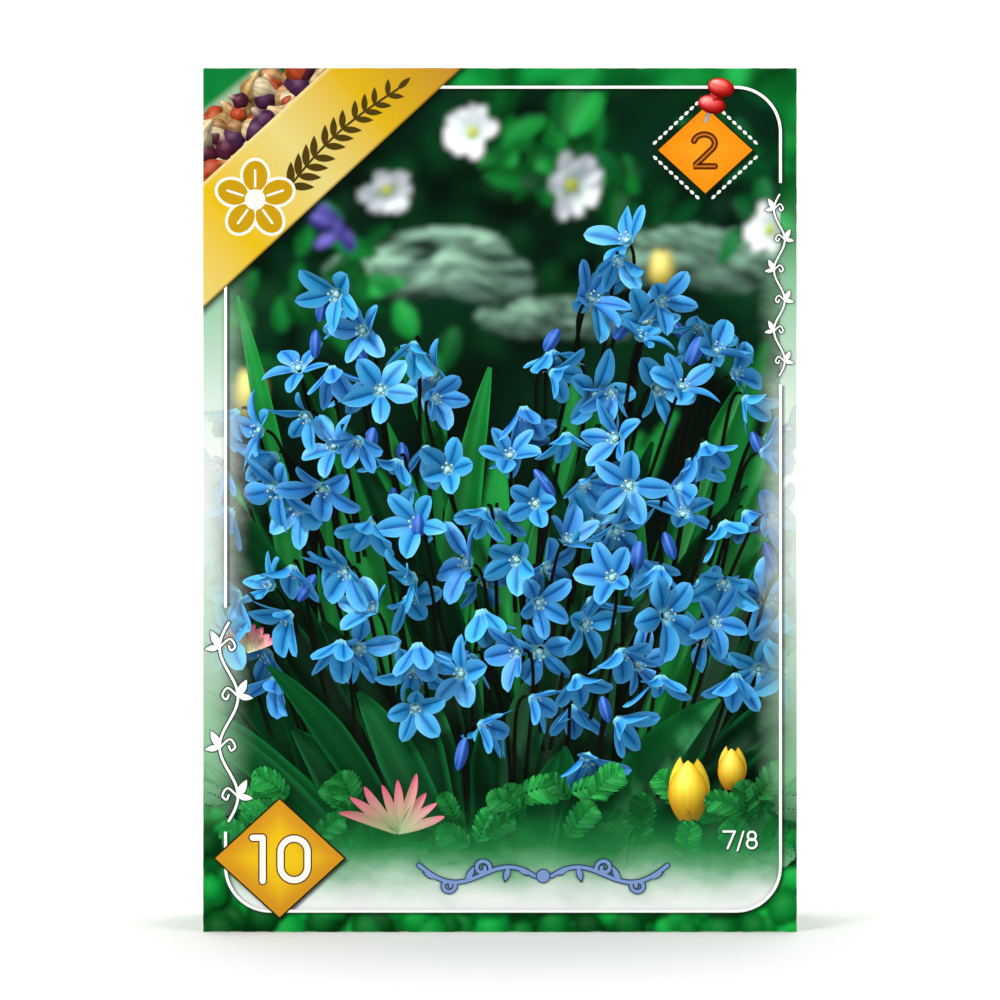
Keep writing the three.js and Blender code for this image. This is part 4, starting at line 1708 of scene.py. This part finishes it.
def print_ground(border):
    """The sheet of print that covers the front."""
    inks = garden_canvas(random_of(2)).reshape(-1, 3)
    x, z = canvas_places(0.02)
    points = np.stack([x, np.full_like(x, FRONT - GROUND_RISE), z], 2).reshape(-1, 3)
    faces = grid_faces(ROWS, COLUMNS)
    uv = (points[:, [0, 2]] + [SIDE, 0]) / TOP
    mesh = made_mesh("ground", points, faces, inks, uv[faces.ravel()])
    give_inks(mesh, "border", border.reshape(-1, 3))
    piece("print_ground", mesh, ground_ink())


# ---------------------------------------------------------------------------------------------------
# The carton's board


def board():
    """Coated print outside, bare grey board inside and pale raw edges between them."""
    sheet = Sheet("board")
    x, y, z = place = sheet.place()
    out_x, out_y, out_z = abs(x) - SIDE, abs(y) - BACK, abs(z - TOP / 2) - TOP / 2
    out = out_x.most(out_y).most(out_z)
    outer = out.over(-0.05)
    inner = 1 - out.over(-0.55)
    side, level, back = out_x.over(-0.05), out_z.over(-0.05), (y - BACK).over(-0.05)
    along = x + side * (y - x)
    up = z + level * (y - z)
    hand = side * x / SIDE
    blots = sheet.noise((along * 0.06 + hand * 9, 3.0, up * 0.06), 2.0)
    greens = [(0.30, "#02501C"), (0.45, "#077030"), (0.58, "#0C8A37"), (0.75, "#24A04C")]
    green = sheet.colours(blots, greens)
    for step, (pitch, light) in enumerate([(8.0, "#129C42"), (5.0, "#0E8F3B")]):
        spot = (along / pitch, 2.0 + 5.0 * step + hand * 3, up / pitch)
        distance = sheet.cells(spot)
        picked = sheet.node("ShaderNodeSeparateColor", None, {0: sheet.cells(spot, "Color")}, step)
        disc = 1 - distance.ramp(0.34, 0.44)
        green = sheet.mix(disc * picked.over(0.4) * 0.5, green, light)
        green = sheet.mix(distance.ramp(0.6, 0.95) * 0.35, green, "#014018")
    panel = side * z.ramp(24, 46) * (1 - z.ramp(116, 138))
    green = sheet.mix(panel * 0.75, green, "#B9D5BE")
    margin = (SIDE - abs(x)).least(z).least(TOP - z)
    pale = sheet.mix(z.ramp(60, 160), "#C3CDBE", "#A9C0AB")
    green = sheet.mix(back * margin.ramp(4.4, 4.6), green, pale)
    fibre = sheet.noise(place, 4.0, 0.7, scale=1.6)
    bare = sheet.mix(fibre, "#B9B4A6", "#D2CEC2")
    plies = sheet.noise(place, 2.0, scale=9)
    raw = sheet.mix(plies, "#DAD5C8", "#F4F1E8")
    crease_x, crease_y, crease_z = SIDE - abs(x), BACK - abs(y), (TOP - z).least(z)
    nearest = (crease_x + crease_y).least(crease_y + crease_z).least(crease_x + crease_z)
    worn = (1 - nearest.ramp(0.0, 0.5)) * fibre.ramp(0.50, 0.72)
    green = sheet.mix(worn * 0.7, green, "#EDEAE0")
    colour = sheet.mix(outer, raw, green)
    colour = sheet.mix(inner, colour, bare)
    return sheet.surface(
        Base_Color=colour,
        Roughness=(1 - outer) * 0.35 + 0.46 + worn * 0.25,
        Specular_IOR_Level=0.06,
        Normal=sheet.bump(fibre, 0.10, 0.04),
    )


def film():
    """Clear film, a little slack, and less clear where it is glued."""
    sheet = Sheet("film")
    x, y, z = sheet.place()
    slack = sheet.noise((x * 0.035, y * 0.05, z * 0.06), 2.0, distortion=0.6)
    rim = (abs(x) - WINDOW["half_width"]).most(abs(z - WINDOW["z"]) - WINDOW["half_height"])
    glued = rim.over(0.3)
    return sheet.surface(
        Base_Color="#F2F6F4",
        Roughness=0.06,
        Alpha=glued * 0.12 + 0.02,
        Specular_IOR_Level=0.35,
        Normal=sheet.bump(slack, 0.45, 1.2),
    )


def finish_carton():
    """Dresses the carton and its film as they are."""
    for name, material in (("carton", board()), ("window_film", film())):
        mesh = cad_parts[name].data
        mesh.materials.clear()
        mesh.materials.append(material)


# ---------------------------------------------------------------------------------------------------
# The print on the back

MARKED_MONTHS = (3, 4, 9, 10, 11)


# The straight strokes of the small numbers: by letter, and the letters of each number
STROKES = {
    "a": ((-1, 1), (1, 1)), "b": ((1, 1), (1, 0)), "c": ((1, 0), (1, -1)), "d": ((-1, -1), (1, -1)),
    "e": ((-1, 0), (-1, -1)), "f": ((-1, 1), (-1, 0)), "g": ((-1, 0), (1, 0)),
}
PLAIN_DIGITS = "abcdef bc abged abgcd fgbc afgcd afgcde abc abcdefg abcdfg".split()


def plain_digit(art, kind, x, z, half_width=0.65, half_height=1.3):
    """A small number of straight strokes."""
    for stroke in PLAIN_DIGITS[int(kind)]:
        art.line([(x + half_width * u, z + half_height * v) for u, v in STROKES[stroke]], 0.34)


def window_line():
    """The route of a line round the window, with round corners."""
    out_x, out_z, r = WINDOW["half_width"] - 7.0, WINDOW["half_height"] - 7.0, 8.6
    corners = ((1, 1, 90), (1, -1, 0), (-1, -1, -90), (-1, 1, 180))
    return np.vstack(
        [arc(h * out_x, WINDOW["z"] + v * out_z, r, r, start, start - 90) for h, v, start in corners]
    )


def print_back():
    """A planting diagram, a year's strip and a framed window, in plain shapes and numbers."""
    frame_line = back_layer(1)
    frame_line.line(window_line(), 0.8, closed=True)
    frame_line.put("back_window_line", "#0C7A33")
    sky, frieze, soil, months, marked, month_numbers, bulbs, leaves, blooms, eyes, ticks = (
        back_layer(k) for k in (0, 0, 1, 0, 2, 3, 3, 3, 4, 5, 3)
    )
    left, right, ground, floor, head = -44.0, 44.0, 100.0, 78.0, 130.0
    sky.fan([(left, ground - 2), (right, ground - 2), (right, head), (left, head)])
    for x in (-36.0, -12.0, 12.0, 36.0):
        rosette(frieze, x, 142.5, 1.4, 7.0)
    for x in (-24.0, 0.0, 24.0):
        for heading in (20, 55, 90, 125, 160):
            frieze.fan(leaf_outline(x, 137.5, 8.0 if heading == 90 else 6.5, 2.0, heading))
    across = np.linspace(left, right, 40)
    soil.strip([[(x, floor), (x, ground + 0.8 * math.sin(x * 0.31))] for x in across])
    for k, x in enumerate((-33.0, -22.0, -11.0, 0.0)):
        nose = [(x + 2.4, 88.6), (x + 0.5, 91.2), (x, 92.4), (x - 0.5, 91.2), (x - 2.4, 88.6)]
        bulbs.fan(np.vstack([arc(x, 87.0, 2.9, 2.6, 200, 340, 16), nose]), (x, 87.5))
        rise = k % 2 * 5
        leaves.line(polished([(x, 92.0), (x + 0.4, 101.0), (x - 0.6, 112.0 + rise)], 16), 0.6)
        for side in (-1, 1):
            leaves.fan(leaf_outline(x, 99.5, 16.0, 2.2, 90 - side * 17))
        rosette(blooms, x - 0.6, 114.0 + rise, 0.6, 4.6)
        eyes.disc(x - 0.6, 114.0 + rise, 0.9, 16)
    for z in (ground, 93.5, 87.0, 80.5):
        ticks.line([(10.0, z), (15.0, z)], 0.5, round_ends=False)
    ticks.line([(12.5, 80.5), (12.5, ground)], 0.5, round_ends=False)
    for kind, x in (("8", 19.0), ("2", 30.0), ("0", 33.6)):
        digit(ticks, kind, (x, 86.9), (2.4, 4.0), 0.55)
    for month in range(1, 13):
        x = left + (month - 0.5) * (right - left) / 12
        target = marked if month in MARKED_MONTHS else months
        target.fan([(x - 3.3, 70.5), (x + 3.3, 70.5), (x + 3.3, 75.5), (x - 3.3, 75.5)])
        number = str(month)
        for k, kind in enumerate(number):
            plain_digit(month_numbers, kind, x + 0.95 * (2 * k - len(number) + 1), 73.0)
    for name, art, tone in (
        ("sky", sky, "#BBCDD2"),
        ("frieze", frieze, "#8DB596"),
        ("soil", soil, "#6A4A30"),
        ("months", months, "#A9BFA8"),
        ("months_marked", marked, "#D9AB10"),
        ("month_numbers", month_numbers, "#1E3A24"),
        ("bulbs", bulbs, "#5A2C44"),
        ("leaves", leaves, "#1E8A40"),
        ("blooms", blooms, "#3F7CC6"),
        ("eyes", eyes, "#F7F9F2"),
        ("ticks", ticks, "#E4DECC"),
    ):
        art.put(f"back_{name}", tone)


# ---------------------------------------------------------------------------------------------------
# Bulbs

BULB_ROUND, BULB_LONG = 72, 54
BULB_ROOTS = 22
SKIN_INSET = 0.965  # of the plain bulb's radius, so that the torn skin stays inside it


def bulb_frame(points):
    """A bulb's foot, its axis and its outline, from the points of its plain solid."""
    middle = points.mean(0)
    away = points - middle
    axis = unit(away[np.argmax(np.linalg.norm(away, axis=1))])
    height = away @ axis
    radius = np.linalg.norm(away - height[:, None] * axis, axis=1)
    levels, places = np.unique(np.round(height, 1), return_inverse=True)
    outline = np.array([radius[places == k].max() for k in range(len(levels))])
    kept = outline > 0.5
    kept[[0, -1]] = True
    return middle, axis, levels[kept], outline[kept]


def bulb_mesh(name, points, random):
    """A bulb in its papery skin, inside the outline of its plain solid."""
    middle, axis, levels, outline = bulb_frame(points)
    side = unit(np.cross(axis, [0.3, 0.9, 0.2]))
    other = np.cross(axis, side)
    s = np.linspace(0, 1, BULB_LONG)
    height = levels[0] + (levels[-1] - levels[0]) * (0.5 - 0.5 * np.cos(s * math.pi))
    radius = np.interp(height, levels, outline) * SKIN_INSET
    radius[0] = radius[-1] = 0.0
    angle = np.linspace(0, 2 * math.pi, BULB_ROUND + 1)
    a, h = np.meshgrid(angle, height)
    share = (h - levels[0]) / (levels[-1] - levels[0])
    waves = sum(
        np.sin(a * n + random.uniform(0, 6.3) + 2.2 * share * random.uniform(-1, 1)) * w
        for n, w in ((5, 0.35), (9, 0.3), (17, 0.22), (31, 0.13))
    )
    body = np.sin(np.pi * np.clip(share, 0, 1)) ** 0.6
    torn = ripple(random, 7 * np.cos(a), 7 * np.sin(a) + 14 * share, 9.0)
    flap = smooth(0.55, 0.75, torn)
    shrink = 1 - 0.012 * (1 - waves) * body - 0.028 * (1 - flap) * body
    r = radius[:, None] * shrink
    grid = middle + axis * h[..., None] + side * (r * np.cos(a))[..., None]
    grid = grid + other * (r * np.sin(a))[..., None]
    skin = blend("#6B3A3E", "#A8757A", np.clip(0.5 + 0.5 * waves, 0, 1))
    skin = blend(skin, "#4A2230", 0.6 * smooth(0.45, 0.0, share))
    under = blend("#8E4A66", "#C79AA8", np.clip(0.5 + 0.6 * waves, 0, 1))
    flake = smooth(0.55, 0.60, torn) * smooth(0.66, 0.60, torn)
    colour = blend(blend(under, skin, 1 - flap), "#D9C3A4", 0.6 * flake)
    colour = blend(colour, "#D8C49A", 0.85 * smooth(0.84, 0.97, share))
    colour = blend(colour, "#9A7A55", smooth(0.07, 0.03, share))
    closed = grid[:, :-1]
    rows, columns = closed.shape[:2]
    index = np.arange(rows * columns).reshape(rows, columns)
    wrapped = np.concatenate([index, index[:, :1]], 1)
    u, v = np.meshgrid(np.linspace(0.01, 0.99, columns + 1), np.linspace(0.01, 0.99, rows))
    faces, uv = (
        np.stack([table[:-1, :-1], table[:-1, 1:], table[1:, 1:], table[1:, :-1]], 2)
        for table in (wrapped, np.stack([u, v], 2))
    )
    inks = colour[:, :-1].reshape(-1, 3)
    mesh = made_mesh(name, closed.reshape(-1, 3), faces.reshape(-1, 4), inks, uv.reshape(-1, 2), True)
    return mesh, middle + axis * levels[0], axis, outline.max()


def skin_material():
    """Papery skin in a bulb's own colours, with fine specks."""
    sheet = Sheet("bulb_skin")
    speck = sheet.noise(sheet.place(), 4.0, 0.65, scale=1.3)
    return sheet.surface(
        Base_Color=sheet.toned(sheet.attribute("ink"), speck * 0.5 + 0.75),
        Roughness=0.42 + speck * 0.2,
        Specular_IOR_Level=0.45,
        Normal=sheet.bump(speck, 0.35, 0.15),
    )


def root_shape():
    """A dry root stub, along its own z."""
    ring = np.linspace(0, 2 * math.pi, 6)[:-1]
    levels = ((0.0, 0.22, 0.0), (0.5, 0.18, 0.1), (1.0, 0.13, 0.28), (1.4, 0.03, 0.3))
    points = [(r * math.cos(a) + bend, r * math.sin(a), h) for h, r, bend in levels for a in ring]
    faces = [
        (low + i, low + (i + 1) % 5, low + 5 + (i + 1) % 5, low + 5 + i)
        for low in (0, 5, 10)
        for i in range(5)
    ]
    return made_mesh("root", points, faces)


def bulbs():
    """The bulbs in their skins, in place of the plain ones, and the roots under them."""
    skin = skin_material()
    root_ink = Sheet("root").surface(Base_Color="#C9AE80", Roughness=0.8)
    random = random_of(3)
    names = sorted(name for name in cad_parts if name.startswith("bulb_"))
    feet, turns = [], []
    for name in names:
        points = points_of(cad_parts[name].data)
        mesh, foot, axis, reach = bulb_mesh(name, points, random)
        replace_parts(piece(f"{name}_skin", mesh, skin), name)
        for _ in range(BULB_ROOTS):
            tilt = axis * -0.5 + random.normal(0, 0.5, 3)
            out = tilt - axis * (tilt @ axis)
            feet.append(foot + axis * 0.9 + unit(out) * reach * 0.26 * random.uniform(0.5, 1))
            turns.append(turn_to(-axis * 1.1 + out, random.uniform(0, 6)))
    sizes = random.uniform(0.6, 1.1, len(feet))
    mesh = strewn(root_shape(), feet, turns, sizes, root_ink)
    mesh.shade_smooth()
    piece("bulb_roots", mesh, root_ink)


# ---------------------------------------------------------------------------------------------------
# Setting

LENS = 120.0
SENSOR = 36.0
CARD_SHARE = 0.594  # of the image's width


def camera():
    """A long lens, square to the front."""
    data = bpy.data.cameras.new("camera")
    data.lens = LENS
    data.sensor_width = SENSOR
    data.clip_start = 0.01
    data.clip_end = 20.0
    view_width = 2 * SIDE * MM / CARD_SHARE
    distance = view_width * LENS / SENSOR
    eye = linked("camera", data)
    eye.location = (0, FRONT * MM - distance, TOP / 2 * MM)
    eye.rotation_euler = (math.pi / 2, 0, 0)
    bpy.context.scene.camera = eye


def backdrop_material():
    """Pale matt paper."""
    sheet = Sheet("backdrop_paper")
    tooth = sheet.noise(sheet.place(), 2.0, scale=0.5)
    return sheet.surface(
        Base_Color=sheet.mix(tooth, "#F4F4F2", "#F7F7F6"),
        Roughness=0.9,
        Specular_IOR_Level=0.1,
    )


def backdrop():
    """A pale floor that curves up into a wall all round."""
    floor, bend, wall, behind, count = 1900.0, 700.0, 500.0, 1100, 97
    arc_length = bend * math.pi / 2
    u, v = squared_disc(count)
    reach = np.maximum(np.hypot(u, v), 1e-9)
    run = reach * (floor + arc_length + wall)
    turn = np.clip((run - floor) / bend, 0, math.pi / 2)
    out = np.minimum(run, floor) + bend * np.sin(turn)
    up = bend * (1 - np.cos(turn)) + np.maximum(run - floor - arc_length, 0)
    points = np.stack([u / reach * out, v / reach * out - behind, up - 0.02], 2).reshape(-1, 3)
    mesh = made_mesh("backdrop", points, grid_faces(count, count), smooth_faces=True)
    mesh.materials.append(backdrop_material())
    thing = linked("backdrop", mesh)


def lamp(name, place, aim, size, power):
    """A round soft light, in metres and watts."""
    data = bpy.data.lights.new(name, "AREA")
    data.shape = "DISK"
    data.size = size
    data.energy = power
    thing = linked(name, data)
    thing.location = place
    thing.rotation_euler = (Vector(aim) - Vector(place)).to_track_quat("-Z", "Y").to_euler()


def lights():
    """Soft light on the front from both sides, a wash on the wall behind and light from above."""
    aim = (0, 0, TOP / 2 * MM)
    lamp("key", (-0.80, -0.95, 0.75), aim, 0.5, 7.2)
    lamp("fill", (0.90, -0.85, 0.50), aim, 0.7, 4.8)
    lamp("wash", (0.0, 0.4, 1.3), (0, 1.5, 0.9), 1.2, 17.0)
    lamp("top", (0.0, 0.25, 2.0), (0, 0.25, 0), 1.6, 22.0)
    world = bpy.data.worlds.new("room")
    world.use_nodes = True
    background = world.node_tree.nodes["Background"]
    background.inputs[0].default_value = (1, 1, 1, 1)
    background.inputs[1].default_value = 0.35
    bpy.context.scene.world = world
    bpy.context.scene.view_settings.view_transform = "Standard"


border_inks = border_canvas(random_of(4))
print_ground(border_inks)
print_picture(border_inks)
print_heap()
print_frame_line()
print_band()
print_diamonds()
print_dotted_ring()
print_flourish()
print_pin()
print_back()
finish_carton()
bulbs()
camera()
backdrop()
lights()
